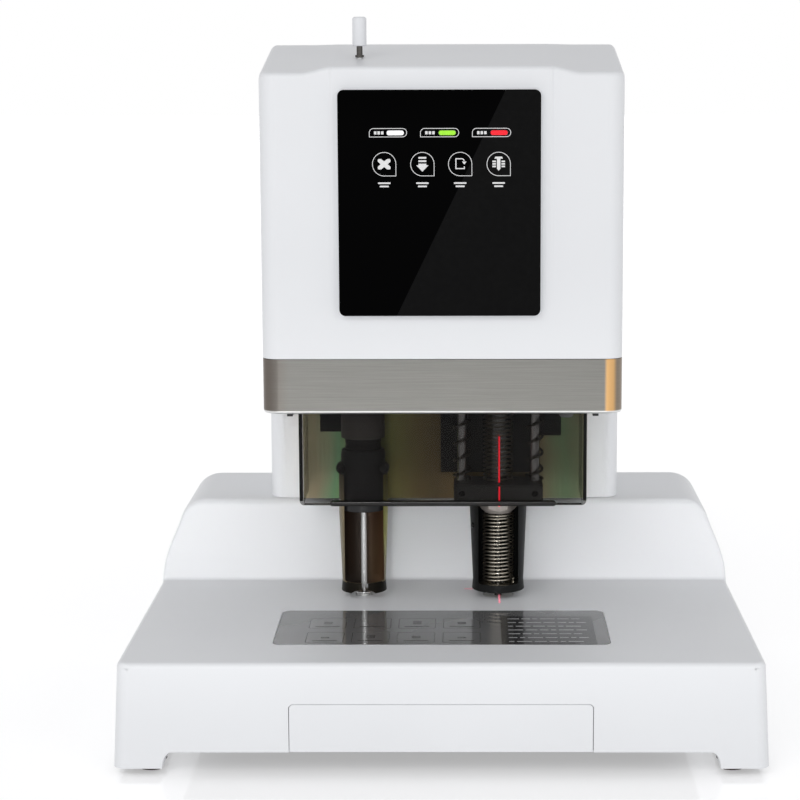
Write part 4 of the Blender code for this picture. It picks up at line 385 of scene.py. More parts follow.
RINGS = (1.0, 1.0, 12.0)
COARSE = (1.0, 1.0, 6.0)
DRAWN = (4.0, 4.0, 0.6)
WHITE = moulded("white_shell", (0.80, 0.812, 0.832), 0.40, 2600.0, 0.00004, 0.012)
WHITE_COVER = moulded("white_rear", (0.79, 0.80, 0.82), 0.46, 1800.0, 0.00006, 0.012)
SMOKED_SIDE = moulded("smoked_side", (0.002, 0.002, 0.002), 0.5, 900.0, 0.00001, 0.2, Specular_IOR_Level=0.1)
GUARD_BLACK = moulded(
    "guard_black", (0.0075, 0.008, 0.008), 0.42, 1200.0, 0.00002, 0.2, Specular_IOR_Level=0.12
)
BLACK = moulded(
    "black_moulding", (0.014, 0.014, 0.015), 0.40, 1500.0, 0.00004, 0.25, Specular_IOR_Level=0.35
)
CAST = moulded("black_casting", (0.014, 0.014, 0.015), 0.55, 700.0, 0.00004, 0.3, Specular_IOR_Level=0.3)
GREY = moulded("dark_grey_nylon", (0.060, 0.057, 0.052), 0.5, 1200.0, 0.00003, 0.15)
CYLINDER = moulded("grey_cylinder", (0.115, 0.100, 0.088), 0.5, 900.0, 0.00003, 0.2)
RUBBER = moulded("foot_rubber", (0.040, 0.022, 0.022), 0.75, 900.0, 0.00012, 0.25)
NYLON = moulded("nylon_pad", (0.82, 0.82, 0.80), 0.5, 1500.0, 0.00006, 0.03)
KNOB = moulded("white_knob", (0.80, 0.812, 0.835), 0.36, 2600.0, 0.00003, 0.012)
BOARD = moulded("board_green", (0.03, 0.15, 0.07), 0.4, 500.0, 0.00005, 0.2)
BAND = brushed_band()
BRIGHT = metal("turned_steel", (0.62, 0.61, 0.60), 0.24, RINGS)
POLISHED = metal("polished_steel", (0.86, 0.86, 0.86), 0.14, DRAWN, spread=0.06)
NUT_STEEL = metal("nut_steel", (0.38, 0.345, 0.32), 0.40, (1.0, 1.0, 8.0), metallic=0.15)
SPRING_STEEL = metal("spring_wire", (0.50, 0.46, 0.39), 0.36, COARSE)
DARK_SPRING = metal("black_spring_wire", (0.10, 0.088, 0.070), 0.26, COARSE, spread=0.25)
COIL_BRONZE = metal("coil_bronze", (0.26, 0.22, 0.17), 0.30, COARSE, spread=0.25)
ROD_STEEL = metal("guide_steel", (0.42, 0.40, 0.385), 0.24, RINGS)
DRILL_STEEL = metal("drill_steel", (0.10, 0.095, 0.09), 0.3, RINGS)
DARK = metal("black_oxide", (0.034, 0.034, 0.034), 0.24, (1.0, 1.0, 5.0), spread=0.3)
POST_STEEL = metal("coated_steel", (0.11, 0.11, 0.115), 0.42, (1.0, 1.0, 3.0), 120.0, 0.2)
# Near-black painted shade for the front of the rivet guard's foot.
GUARD_FOOT_SHADE = metal("guard_foot_shade", (0.016, 0.014, 0.011), 0.44, COARSE, spread=0.25, depth=0.00001)
NEEDLE_STEEL = metal("needle_steel", (0.66, 0.665, 0.66), 0.34, DRAWN, spread=0.06, metallic=0.45)
# Light steel for the drill guard's sill top, a painted glint.
SILL_GLINT = metal("sill_glint_steel", (0.34, 0.32, 0.27), 0.26, (1.0, 1.0, 8.0))
PLATE = plated_sheet()
SUPPLY = zinc_film()
GUARD_ZINC = guard_film()
GUARD_INSIDE_SHADE = guard_bore_shade()
GLASS = glass_panel()
SMOKED = clouded(
    "smoked_clear", (0.002, 0.0015, 0.001), (0.004, 0.003, 0.0025), 0.06, 20.0, (0.04, 0.09),
    Alpha=0.42, Specular_IOR_Level=0.12,
)
SMOKED_EDGE = clouded(
    "smoked_edge", (0.004, 0.003, 0.003), (0.009, 0.008, 0.007), 0.16, 60.0, Specular_IOR_Level=0.3
)
MAT = clouded(
    "mat_glass", (0.126, 0.127, 0.128), (0.154, 0.155, 0.156), 0.05, 12.0, (0.03, 0.07), 260.0,
    Specular_IOR_Level=1.0,
)
INK = ink("white_print", (0.80, 0.80, 0.80))
MAT_INK = ink("grey_print", (0.075, 0.075, 0.075), 0.25)
MAT_BLOCK = ink("dark_print", (0.05, 0.05, 0.052), 0.12)
MAT_LINE = ink("pale_print", (0.42, 0.42, 0.42), 0.2)
LAMP_WHITE = lamp("lamp_white", (0.95, 0.95, 0.95), 0.5)
LAMP_GREEN = lamp("lamp_green", (0.26, 0.62, 0.02), 0.55)
LAMP_RED = lamp("lamp_red", (0.80, 0.0, 0.012), 0.55)
LASER = light_line("laser_line", (1.0, 0.012, 0.03), 1.6)
LASER_GLOW = light_line("laser_glow", (1.0, 0.28, 0.38), 0.7, 0.28)

# places of CAD nodes


def face_on(node, axis="Y"):
    """A node's box seen along an axis: low corner, high corner, and its span along the axis."""
    across, along = ((0, 2), 1) if axis == "Y" else ((0, 1), 2)
    low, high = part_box(node)
    return [low[k] for k in across], [high[k] for k in across], (low[along], high[along])


def levels(node):
    return face_on(node, "Z")[2]


def middle(node):
    low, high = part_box(node)
    return [(a + b) / 2 for a, b in zip(low, high)]


# mesh tools


def smooth(mesh, angle=35.0):
    mesh.shade_smooth()
    mesh.set_sharp_from_angle(angle=math.radians(angle))


def add_object(name, data):
    obj = bpy.data.objects.new(name, data)
    bpy.context.scene.collection.objects.link(obj)
    return obj


def mesh_object(name, bm, material, angle=35.0):
    bmesh.ops.recalc_face_normals(bm, faces=bm.faces)
    mesh = bpy.data.meshes.new(name)
    bm.to_mesh(mesh)
    bm.free()
    if material is not None:
        mesh.materials.append(material)
    smooth(mesh, angle)
    return add_object(name, mesh)


def bridge(bm, lower, upper):
    for i in range(len(lower)):
        j = (i + 1) % len(lower)
        bm.faces.new((lower[i], lower[j], upper[j], upper[i]))


def add_skin(bm, rings, closed=False):
    """Faces from each ring of points to the next; open ends are capped."""
    loops = [[bm.verts.new(point) for point in ring] for ring in rings]
    for lower, upper in zip(loops, loops[1:]):
        bridge(bm, lower, upper)
    if closed:
        bridge(bm, loops[-1], loops[0])
    else:
        bm.faces.new(loops[0])
        bm.faces.new(loops[-1])


def loft(name, rings, material=None, closed=False, angle=35.0):
    bm = bmesh.new()
    add_skin(bm, rings, closed)
    return mesh_object(name, bm, material, angle)


def placed(a, b, along, axis):
    """A point from its two places across an axis and its place along it."""
    return {"X": (along, a, b), "Y": (a, along, b), "Z": (a, b, along)}[axis]


def flat_ring(outline, level, axis):
    return [placed(a, b, level, axis) for a, b in outline]


def slab(name, outline, low, high, material=None, axis="Z"):
    return loft(name, [flat_ring(outline, level, axis) for level in (low, high)], material)


def soften(profile, radius, steps=3):
    """A profile with each inner corner turned into a small arc; ends on the axis stay."""
    points = []
    for i, here in enumerate(profile):
        a, b, c = (Vector(profile[k % len(profile)]) for k in (i - 1, i, i + 1))
        back, ahead = a - b, c - b
        reach = min(radius, back.length * 0.45, ahead.length * 0.45)
        if here[0] == 0 or reach < 1e-6:
            points.append(here)
            continue
        start, end = b + back.normalized() * reach, b + ahead.normalized() * reach
        for k in range(steps + 1):
            t = k / steps
            points.append(tuple(start * (1 - t) ** 2 + b * 2 * t * (1 - t) + end * t * t))
    return points


def turned(name, profile, centre, material=None, steps=96, axis="Z", edge=0.0003):
    """A turned piece from (radius, height) pairs, with softened corners."""
    solid = profile[0][0] == 0
    if edge:
        profile = soften(profile, edge)
    bm = bmesh.new()
    columns = []
    for k in range(steps):
        turn = 2 * math.pi * k / steps
        column = []
        for radius, height in profile:
            if radius == 0 and columns:
                column.append(columns[0][len(column)])
                continue
            point = placed(radius * math.cos(turn), radius * math.sin(turn), height, axis)
            column.append(bm.verts.new(Vector(point) + Vector(centre)))
        columns.append(column)
    count = len(profile)
    for k in range(steps):
        here, there = columns[k], columns[(k + 1) % steps]
        for i in range(count - 1 if solid else count):
            j = (i + 1) % count
            corners = []
            for vert in (here[i], here[j], there[j], there[i]):
                if vert not in corners:
                    corners.append(vert)
            if len(corners) > 2:
                bm.faces.new(corners)
    return mesh_object(name, bm, material)


def rod(name, radius, low, high, centre, steps=96, axis="Z", edge=0, material=None):
    """A plain cylinder that runs from low to high along its axis."""
    profile = ((0, low), (radius, low), (radius, high), (0, high))
    return turned(name, profile, centre, material, steps, axis, edge)


def arc(centre, radius, start, end, steps=10):
    turns = [start + (end - start) * k / steps for k in range(steps + 1)]
    return [(centre[0] + radius * math.cos(turn), centre[1] + radius * math.sin(turn)) for turn in turns]


def rectangle(x0, y0, x1, y1):
    return [(x0, y0), (x1, y0), (x1, y1), (x0, y1)]


def rounded(low, high, radius, steps=10):
    """Outline of a rectangle with round corners."""
    x0, x1, y0, y1 = low[0] + radius, high[0] - radius, low[1] + radius, high[1] - radius
    points = []
    for turn, centre in enumerate(((x1, y1), (x0, y1), (x0, y0), (x1, y0))):
        points += arc(centre, radius, turn * HALF_PI, (turn + 1) * HALF_PI, steps)
    return points


def inset(low, high, draw, radius, steps=10):
    """A rounded rectangle drawn in all round by draw, its corners too."""
    corner = max(radius - draw, 1e-5)
    return rounded((low[0] + draw, low[1] + draw), (high[0] - draw, high[1] - draw), corner, steps)


def plate(name, low, high, radius, steps, stages, material, axis="Z", closed=False):
    """A rounded plate; stages are (level, draw) pairs that say how far it is drawn in at a level."""
    rings = [flat_ring(inset(low, high, draw, radius, steps), level, axis) for level, draw in stages]
    return loft(name, rings, material, closed)


def quarter(steps):
    return [HALF_PI * k / steps for k in range(steps + 1)]


def edge_stages(start, edge, steps):
    """Stages of a quarter round that begins at a plate's face."""
    return [(start + edge * (1 - math.cos(turn)), edge * (1 - math.sin(turn))) for turn in quarter(steps)]


def pillow(name, low, high, radius, span, edge, material, steps=10, back_edge=0.0):
    """A rounded plate whose face meets its rim in a small arc; span is its place along Y."""
    start, end = span
    stages = edge_stages(start, edge, 4)
    if back_edge:
        stages += edge_stages(end, -back_edge, 4)[::-1]
        stages = [(level, abs(draw)) for level, draw in stages]
    else:
        stages.append((end, 0.0))
    return plate(name, low, high, radius, steps, stages, material, "Y")


def box(name, low, high, material=None, edge=0.0, segments=3):
    bm = bmesh.new()
    size = [b - a for a, b in zip(low, high)]
    centre = [(a + b) / 2 for a, b in zip(low, high)]
    bmesh.ops.create_cube(bm, size=1, matrix=Matrix.Translation(centre) @ Matrix.Diagonal((*size, 1)))
    if edge:
        bmesh.ops.bevel(bm, geom=bm.edges[:], offset=edge, segments=segments, affect="EDGES")
    return mesh_object(name, bm, material)


def bake(obj, angle=35.0):
    """Turns an object's modifiers into its mesh."""
    graph = bpy.context.evaluated_depsgraph_get()
    mesh = bpy.data.meshes.new_from_object(obj.evaluated_get(graph))
    obj.modifiers.clear()
    obj.data = mesh
    smooth(mesh, angle)
    return obj


def combine(obj, others, operation, angle=35.0):
    for other in others:
        step = obj.modifiers.new(operation, "BOOLEAN")
        step.operation = operation
        step.solver = "EXACT"
        step.object = other
    bake(obj, angle)
    for other in others:
        bpy.data.objects.remove(other, do_unlink=True)
    return obj


def cut(obj, *others, angle=35.0):
    return combine(obj, others, "DIFFERENCE", angle)


def fuse(obj, *others):
    return combine(obj, others, "UNION")


def merge_flats(obj):
    """Joins the flat triangles that cutting leaves, so that the shading stays even."""
    bm = bmesh.new()
    bm.from_mesh(obj.data)
    bmesh.ops.dissolve_limit(bm, angle_limit=math.radians(0.05), verts=bm.verts, edges=bm.edges)
    bm.to_mesh(obj.data)
    bm.free()


def break_edges(obj, width, segments=3, angle=40.0):
    step = obj.modifiers.new("edges", "BEVEL")
    step.width = width
    step.segments = segments
    step.limit_method = "ANGLE"
    step.angle_limit = math.radians(angle)
    return obj


def bevel(obj, width, segments=3, angle=40.0):
    return bake(break_edges(obj, width, segments, angle))


def join(name, objects):
    """Several meshes made one object; materials are kept."""
    bm = bmesh.new()
    materials = []
    for obj in objects:
        before = len(bm.faces)
        bm.from_mesh(obj.data)
        bm.faces.ensure_lookup_table()
        found = obj.data.materials[0]
        if found not in materials:
            materials.append(found)
        for face in bm.faces[before:]:
            face.material_index = materials.index(found)
        bpy.data.objects.remove(obj, do_unlink=True)
    mesh = bpy.data.meshes.new(name)
    bm.to_mesh(mesh)
    bm.free()
    for material in materials:
        mesh.materials.append(material)
    smooth(mesh)
    return add_object(name, mesh)


def recolour(obj, material, test):
    """Gives a further material to the faces that pass a test."""
    obj.data.materials.append(material)
    index = len(obj.data.materials) - 1
    for face in obj.data.polygons:
        if test(face):
            face.material_index = index


def dress(obj, body, slot, *nodes):
    """A finished piece: it rides on its body and stands for its CAD nodes."""
    step = obj.modifiers.new("normals", "WEIGHTED_NORMAL")
    step.keep_sharp = True
    step.weight = 100
    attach(obj, body)
    if nodes:
        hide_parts(*nodes)


def smooth_step(value):
    value = min(1.0, max(0.0, value))
    return value * value * (3 - 2 * value)


def corner_inset(distance, radius):
    if distance >= radius:
        return 0.0
    rest = radius - max(distance, 0.0)
    return radius - math.sqrt(radius * radius - rest * rest)


def corner_stations(radius, steps):
    return [radius * (1 - math.cos(turn)) for turn in quarter(steps)]


def coil(name, centre, radius, wire, curls, low, high, material, around=10, per_curl=28):
    """One unbroken spring wire, with its last curl at each end lying nearly flat."""
    count = curls * per_curl
    start, end = low + wire, high - wire
    shares = [0.0]
    for k in range(count):
        turn = min(k, count - k) / per_curl
        shares.append(shares[-1] + 0.35 + 0.65 * smooth_step(turn / 1.2))
    rings = []
    for k, share in enumerate(shares):
        turn = 2 * math.pi * k / per_curl
        out = Vector((math.cos(turn), math.sin(turn), 0))
        axis = Vector((centre[0], centre[1], start + (end - start) * share / shares[-1])) + out * radius
        spins = [2 * math.pi * j / around for j in range(around)]
        rings.append([axis + out * wire * math.cos(s) + Vector((0, 0, wire * math.sin(s))) for s in spins])
    return loft(name, rings, material, angle=60.0)


def cross_screw(name, place, radius, height, facing, material=None):
    """A pan-head screw with a cross recess; it faces +Y or -Y, and place is the middle of its face."""
    x, y, z = place
    back, rim = y - facing * height, y - facing * height * 0.4
    profile = [(0, back), (radius, back), (radius, rim), (radius * 0.8, y), (0, y)]
    head = turned(name, profile, (x, 0, z), material or POLISHED, 40, "Y", 0.0002)
    arm, thick = radius * 0.62, radius * 0.13
    low, high = sorted((y - facing * height * 0.55, y + facing * 0.001))
    for wide, tall in ((arm, thick), (thick, arm)):
        cut(head, box("arm", (x - wide, low, z - tall), (x + wide, high, z + tall)))
    return head


# stage


def softbox(name, place, target, size, energy, spread=180.0):
    light = bpy.data.lights.new(name, "AREA")
    light.shape = "RECTANGLE"
    light.size, light.size_y = size
    light.energy = energy
    light.spread = math.radians(spread)
    obj = add_object(name, light)
    obj.location = place
    obj.rotation_euler = (Vector(target) - Vector(place)).to_track_quat("-Z", "Y").to_euler()


def build_camera():
    data = bpy.data.cameras.new("camera")
    data.lens = 99.0
    data.sensor_width = 36.0
    data.shift_x = -0.0589
    data.clip_start = 0.05
    data.clip_end = 60.0
    camera = add_object("camera", data)
    camera.matrix_world = Matrix.Translation((0.01623, -1.54654, 0.46707))
    for degrees, axis in ((0.489, "Z"), (80.916, "X"), (-0.158, "Z")):
        camera.matrix_world = camera.matrix_world @ Matrix.Rotation(math.radians(degrees), 4, axis)
    bpy.context.scene.camera = camera


def build_world():
    """Soft light all round: white low down, greyer overhead and towards both sides."""
    world = bpy.data.worlds.new("studio")
    world.use_nodes = True
    nodes = Nodes(world.node_tree)
    place = nodes.node("ShaderNodeTexCoord").outputs["Generated"]
    parts = nodes.node("ShaderNodeSeparateXYZ", Vector=place).outputs
    sky = nodes.ramp(parts["Z"], ((0.05, 1.0), (0.85, (0.46, 0.46, 0.47))))
    width = nodes.maths("ABSOLUTE", parts["X"])
    ends = {"From_Min": 0.50, "From_Max": 0.95, "To_Min": 1.0, "To_Max": 0.70}
    sides = nodes.node("ShaderNodeMapRange", Value=width, **ends)
    sides.interpolation_type = "SMOOTHSTEP"
    shade = nodes.node("ShaderNodeVectorMath")
    shade.operation = "SCALE"
    nodes.link(shade.inputs[0], sky)
    nodes.feed(shade, Scale=sides.outputs["Result"])
    nodes.feed(world.node_tree.nodes["Background"], Color=shade.outputs["Vector"], Strength=1.0)
    bpy.context.scene.world = world


def build_stage():
    bpy.context.scene.view_settings.view_transform = "Standard"
    build_camera()
    build_world()
    bm = bmesh.new()
    bmesh.ops.create_grid(bm, x_segments=8, y_segments=8, size=14.0)
    paint = Paint("studio_floor", (0.86, 0.86, 0.865), 0.09, Specular_IOR_Level=0.5)
    paint.rough(paint.noise(3.0, 2.0), 0.07, 0.11)
    paint.set(Emission_Color=(1.0, 1.0, 1.0, 1.0), Emission_Strength=0.36)
    floor = mesh_object("floor", bm, paint.material)
    softbox("key", (-0.8, -1.8, 1.35), (0, 0, 0.18), (1.3, 0.9), 9.0)
    softbox("fill", (1.2, -1.7, 1.10), (0, 0, 0.18), (1.0, 0.8), 4.0)
    softbox("low", (-0.10, -1.35, 0.30), (-0.03, 0.05, 0.138), (1.0, 0.12), 0.125, 12.0)


# base


def hump_wall(foot_y, deck, top, lean):
    """The step from the deck up to the raised rear, as (y, height) points."""
    run = math.tan((HALF_PI - lean) / 2)
    top_y = foot_y + (top - deck) * math.tan(lean)
    foot_centre = (foot_y - HUMP_FOOT_FILLET * run, deck + HUMP_FOOT_FILLET)
    top_centre = (top_y + HUMP_TOP_FILLET * run, top - HUMP_TOP_FILLET)
    points = arc(foot_centre, HUMP_FOOT_FILLET, -HALF_PI, -lean, 8)
    crest = arc(top_centre, HUMP_TOP_FILLET, math.pi - lean, HALF_PI, 12)
    low, high = points[-1], crest[0]
    points += [tuple(a + (b - a) * k / 10 for a, b in zip(low, high)) for k in range(1, 10)]
    return points + crest


def base_section(y, height, raised, inset_by, floor, skin, steps):
    """One crosswise section of the base; raised runs from 0 at the deck to 1 at the rear."""
    corner = DECK_EDGE + (HUMP_CORNER - DECK_EDGE) * raised
    draft = math.atan2((SKIRT_WIDTH - DECK_WIDTH) / 2, DECK_HEIGHT - SKIRT_GAP)
    lean = draft + (HUMP_SIDE_LEAN - draft) * raised
    half_deck = DECK_WIDTH / 2 - inset_by - skin
    half_floor = half_deck + (DECK_HEIGHT - floor) * math.tan(draft)
    start = DECK_HEIGHT - DECK_EDGE - skin
    corner = max(corner - skin, DECK_EDGE / 2)
    run = (height - corner + corner * math.sin(lean) - start) / math.cos(lean)
    centre_x = half_deck - run * math.sin(lean) - corner * math.cos(lean)
    right = [(half_floor, floor), (half_deck, start)]
    right += arc((centre_x, height - corner), corner, lean, HALF_PI, steps)
    left = [(-x, z) for x, z in reversed(right)]
    return flat_ring(right + left, y, "Y")


def base_rings(skin, roof_skin, floor, steps=12):
    """Sections of the base from front to rear, drawn in by a skin for its hollow."""
    lean = math.atan2(HUMP_LEAN, HUMP_HEIGHT - DECK_HEIGHT)
    deck, top = DECK_HEIGHT - roof_skin, HUMP_HEIGHT - skin
    foot_y = HUMP_FOOT_Y + skin / math.cos(lean) - roof_skin * math.tan(lean)
    corner = BASE_CORNER - skin

    def rounded_end(side, height, raised):
        rings = []
        for distance in corner_stations(corner, 16):
            drop = 0.0 if skin else corner_inset(distance, DECK_EDGE)
            y = side * (HALF_DEPTH - skin - distance)
            inset_by = corner_inset(distance, corner)
            rings.append(base_section(y, height - drop, raised, inset_by, floor, skin, steps))
        return rings

    rings = rounded_end(-1, deck, 0.0)
    for y, height in hump_wall(foot_y, deck, top, lean):
        raised = smooth_step((height - deck) / (top - deck))
        rings.append(base_section(y, height, raised, 0.0, floor, skin, steps))
    return rings + rounded_end(1, top, 1.0)[::-1]


def arch_corner(side, floor, grow=0.0, steps=20):
    """The curve from a leg up to the top of the arch; grow widens it into the leg."""
    wide = (ARCH_FOOT_WIDTH - ARCH_TOP_WIDTH) / 2 + grow
    tall = ARCH_HEIGHT - SKIRT_GAP + grow
    run = [] if floor == SKIRT_GAP else [(side * (ARCH_TOP_WIDTH / 2 + wide), floor)]
    for turn in quarter(steps):
        half = ARCH_TOP_WIDTH / 2 + wide * math.cos(turn)
        run.append((side * half, SKIRT_GAP + tall * math.sin(turn)))
    return run


def arch_slab():
    floor = SKIRT_GAP - CLEAR
    outline = arch_corner(1, floor) + arch_corner(-1, floor)[::-1]
    return slab("arch", outline, -HALF_DEPTH - CLEAR, HALF_DEPTH + CLEAR, None, "Y")


def leg_linings(grow, reach, inner, floor):
    """Bars along the legs, from inside the arch out to its curve widened by grow."""
    bars = []
    for side in (1, -1):
        outline = arch_corner(side, floor, grow)
        outline += [(side * inner, ARCH_HEIGHT + grow), (side * inner, floor)]
        bars.append(slab("lining", outline, -reach, reach, WHITE, "Y"))
    return bars


def build_base():
    shell = loft("base_casing", base_rings(0.0, 0.0, SKIRT_GAP), WHITE)
    hollow = loft("hollow", base_rings(BASE_WALL, DECK_WALL, SKIRT_GAP - CLEAR, 5))
    low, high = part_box("chip_drawer")
    below, slot_corner, slot_depth = SKIRT_GAP - 0.012, 0.0032, 0.007
    around = rounded((low[0] - SEAT, below), (high[0] + SEAT, high[2] + SEAT), slot_corner, 8)
    cutters = [arch_slab(), slab("slot", around, low[1] - CLEAR, low[1] + slot_depth, None, "Y")]
    low, high, (bottom, top) = face_on("deck_mat", "Z")
    cutters.append(slab("pocket", inset(low, high, -SEAT, PLATE_CORNER), bottom - SEAT, DECK_HEIGHT + CLEAR))
    low_z, high_z, flare_z = 0.068, 0.0770, 0.0757
    for node in ("drill_pad", "rivet_anvil"):
        low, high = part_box(node)
        radius = (high[0] - low[0]) / 2 + SEAT
        profile = ((0, low_z), (radius, low_z), (radius, flare_z), (radius + 0.0006, high_z), (0, high_z))
        cutters.append(turned("hole", profile, (middle(node)[0], AXIS_Y, 0), edge=0))
    low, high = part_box("frame_post")
    gap, under, over = 0.0005, HUMP_HEIGHT - 0.007, HUMP_HEIGHT + CLEAR
    cutters.append(box("post", (low[0] - gap, low[1] - gap, under), (high[0] + gap, high[1] + gap, over)))
    low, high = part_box("power_inlet")
    corner = (high[0] + SEAT, HALF_DEPTH + CLEAR, high[2] + SEAT)
    cutters.append(box("entry", (low[0] - SEAT, HALF_DEPTH - 0.007, low[2] - SEAT), corner))
    cut(shell, hollow)
    fuse(shell, *leg_linings(LEG_LINING, HALF_DEPTH - BASE_WALL / 2, LINING_HALF_WIDTH, SKIRT_GAP))
    cut(shell, *cutters)
    merge_flats(shell)
    dress(shell, "base", "white_plastic", "base_shell")


def build_drawer():
    low, high, (face, end) = face_on("chip_drawer")
    corner, wall, half = 0.0030, 0.002, 0.092
    front = pillow("drawer_front", low, high, corner, (face, face + 0.0028), 0.0008, WHITE, 8, 0.0003)
    bottom = (low[0], face + 0.0006, low[1])
    foot = box("foot", bottom, (high[0], face + 0.0026, low[1] + 2 * corner), WHITE, 0.0003)
    tray = box("tray", (-half, face + 0.0014, 0.0188), (half, end, 0.0458), WHITE, 0.0004)
    corner_low = (-half + wall, face + 0.0048, 0.0208)
    cut(tray, box("well", corner_low, (half - wall, end - wall, 0.05), None, 0.0015))
    fuse(front, foot, tray)
    dress(front, "drawer", "white_plastic", "chip_drawer")


def build_pan():
    pan = add_object("steel_pan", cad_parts["chassis_pan"].data.copy())
    pan.data.materials.clear()
    pan.data.materials.append(POST_STEEL)
    reach, inner = HALF_DEPTH + CLEAR, LINING_HALF_WIDTH - 0.0002
    cut(pan, arch_slab(), *leg_linings(LEG_LINING + 0.0001, reach, inner, SKIRT_GAP - CLEAR))
    bevel(pan, 0.0004, 2, 30)
    dress(pan, "base", "zinc_plate", "chassis_pan")


def build_feet():
    seat = SKIRT_GAP - 0.0001
    for place in ("front_left", "front_right", "rear_left", "rear_right"):
        low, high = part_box("foot_" + place)
        x, y, _ = middle("foot_" + place)
        profile = (
            (0, 0.0006), (0.0060, 0.0006), (0.0066, 0.0), (0.0096, 0.0), (0.0112, 0.0010),
            (0.0122, 0.0028), (0.0120, 0.0031), (0.0126, 0.0036), (0.0128, seat), (0.0095, seat),
            (0.0095, high[2]), (0, high[2]),
        )
        foot = turned("rubber_" + place, profile, (x, y, 0), RUBBER, 64, edge=0.0002)
        inner = math.copysign(ARCH_FOOT_WIDTH / 2 + 0.0032, x)
        corner = (max(0, inner), high[1] + 0.01, SKIRT_GAP)
        cut(foot, box("trim", (min(0, inner), low[1] - 0.01, -0.001), corner))
        dress(foot, "base", "rubber", "foot_" + place)


# prints


def ribbon(points, width, closed):
    """Pairs of (outer, inner) points of a line drawn along points."""
    count = len(points)
    pairs = []
    for i, here in enumerate(points):
        before = points[i - 1] if closed or i else here
        after = points[(i + 1) % count] if closed or i < count - 1 else here
        first = Vector(here) - Vector(before)
        second = Vector(after) - Vector(here)
        first = first.normalized() if first.length > 1e-9 else second.normalized()
        second = second.normalized() if second.length > 1e-9 else first
        normal = Vector((-(first.y + second.y), first.x + second.x))
        normal.normalize()
        offset = normal * width / 2 / max(0.5, normal.dot(Vector((-first.y, first.x))))
        pairs.append((Vector(here) + offset, Vector(here) - offset))
    return pairs


def add_ribbon(bm, points, width, lift, closed=True):
    """A drawn line with a little thickness; lift maps flat points and a level to space."""
    rows = []
    for outer, inner in ribbon(points, width, closed):
        rows.append([lift(*side, level) for side, level in ((outer, 0), (outer, 1), (inner, 1), (inner, 0))])
    add_skin(bm, rows, closed)


def add_patch(bm, points, lift):
    low, high = [[bm.verts.new(lift(a, b, level)) for a, b in points] for level in (0, 1)]
    bm.faces.new(low)
    bm.faces.new(high)
    bridge(bm, low, high)


def pill_outline(x0, x1, z0, z1):
    """A pill with one square corner, lower left."""
    radius = (z1 - z0) / 2
    points = arc((x1 - radius, (z0 + z1) / 2), radius, -HALF_PI, HALF_PI, 16)
    points += arc((x0 + radius, z1 - radius), radius, HALF_PI, 2 * HALF_PI, 8)
    return points + [(x0, z0)]


def add_lamp_frames(bm, lift, line):
    bottom, top = 0.4075, 0.4132
    for x0, x1 in ((-0.0492, -0.0237), (-0.0143, 0.0118), (0.02105, 0.0472)):
        add_ribbon(bm, pill_outline(x0, x1, bottom, top), line, lift)
        for k in range(3):
            left = x0 + 0.0032 + 0.0024 * k
            add_patch(bm, rectangle(left, 0.4092, left + 0.0017, 0.4113), lift)


def add_key_marks(bm, lift, line):
    """Four round keys with a cross, a falling arrow, a sheet that turns, and a screw."""
    z = PRINT_Z
    centres = (-0.0392, -0.0131, 0.0127, 0.0390)

    def patch(points):
        add_patch(bm, [(x + a, z + b) for a, b in points], lift)

    for x in centres:
        drop = arc((x, z), 0.0080, 0, 3 * HALF_PI, 40) + [(x + 0.0080, z - 0.0080)]
        add_ribbon(bm, drop, line, lift)
        for fall, half in ((0.0124, 0.0043), (0.0146, 0.0031)):
            patch(rounded((-half, -fall - 0.0011), (half, -fall), 0.0004, 3))
    x = centres[0]
    arm = (
        (0.0024, 0.0), (0.0043, 0.0017), (0.0044, 0.0029), (0.0037, 0.0036), (0.0020, 0.0035),
        (0.0, 0.0019),
    )
    cross = list(arm) + [(-a, b) for a, b in reversed(arm[:-1])]
    cross += [(-a, -b) for a, b in arm[1:]] + [(a, -b) for a, b in reversed(arm[1:-1])]
    patch(cross)
    x = centres[1]
    half, neck, low, high = 0.0042, 0.0027, -0.0008, 0.0003
    patch([(-half, low), (0, -0.0051), (half, low), (neck, low), (neck, high), (-neck, high), (-neck, low)])
    for rise in (0.0014, 0.0037):
        patch(rounded((-neck, rise), (neck, rise + 0.0012), 0.0002, 2))
    x = centres[2]
    sheet = [(0.0028, -0.0016), (0.0028, -0.0031), (-0.0029, -0.0031), (-0.0029, 0.0036), (0.0010, 0.0036)]
    sheet += arc((0.0010, 0.0018), 0.0018, HALF_PI, 0.2, 6)
    add_ribbon(bm, [(x + a, z + b) for a, b in sheet], 0.0007, lift, False)
    patch([(0.0012, 0.0017), (0.0028, -0.0003), (0.0044, 0.0017)])
    x = centres[3]
    patch([(-0.0012, -0.0032), (0, -0.0046), (0.0012, -0.0032), (0.0012, 0.0036), (-0.0012, 0.0036)])
    patch([(-0.0029, 0.0036), (0.0029, 0.0036), (0.0023, 0.0050), (-0.0023, 0.0050)])
    for side in (-1, 1):
        inner, outer = sorted((side * 0.0019, side * 0.0043))
        for rise in (-0.0022, -0.0005, 0.0012):
            patch(rectangle(inner, rise, outer, rise + 0.0011))


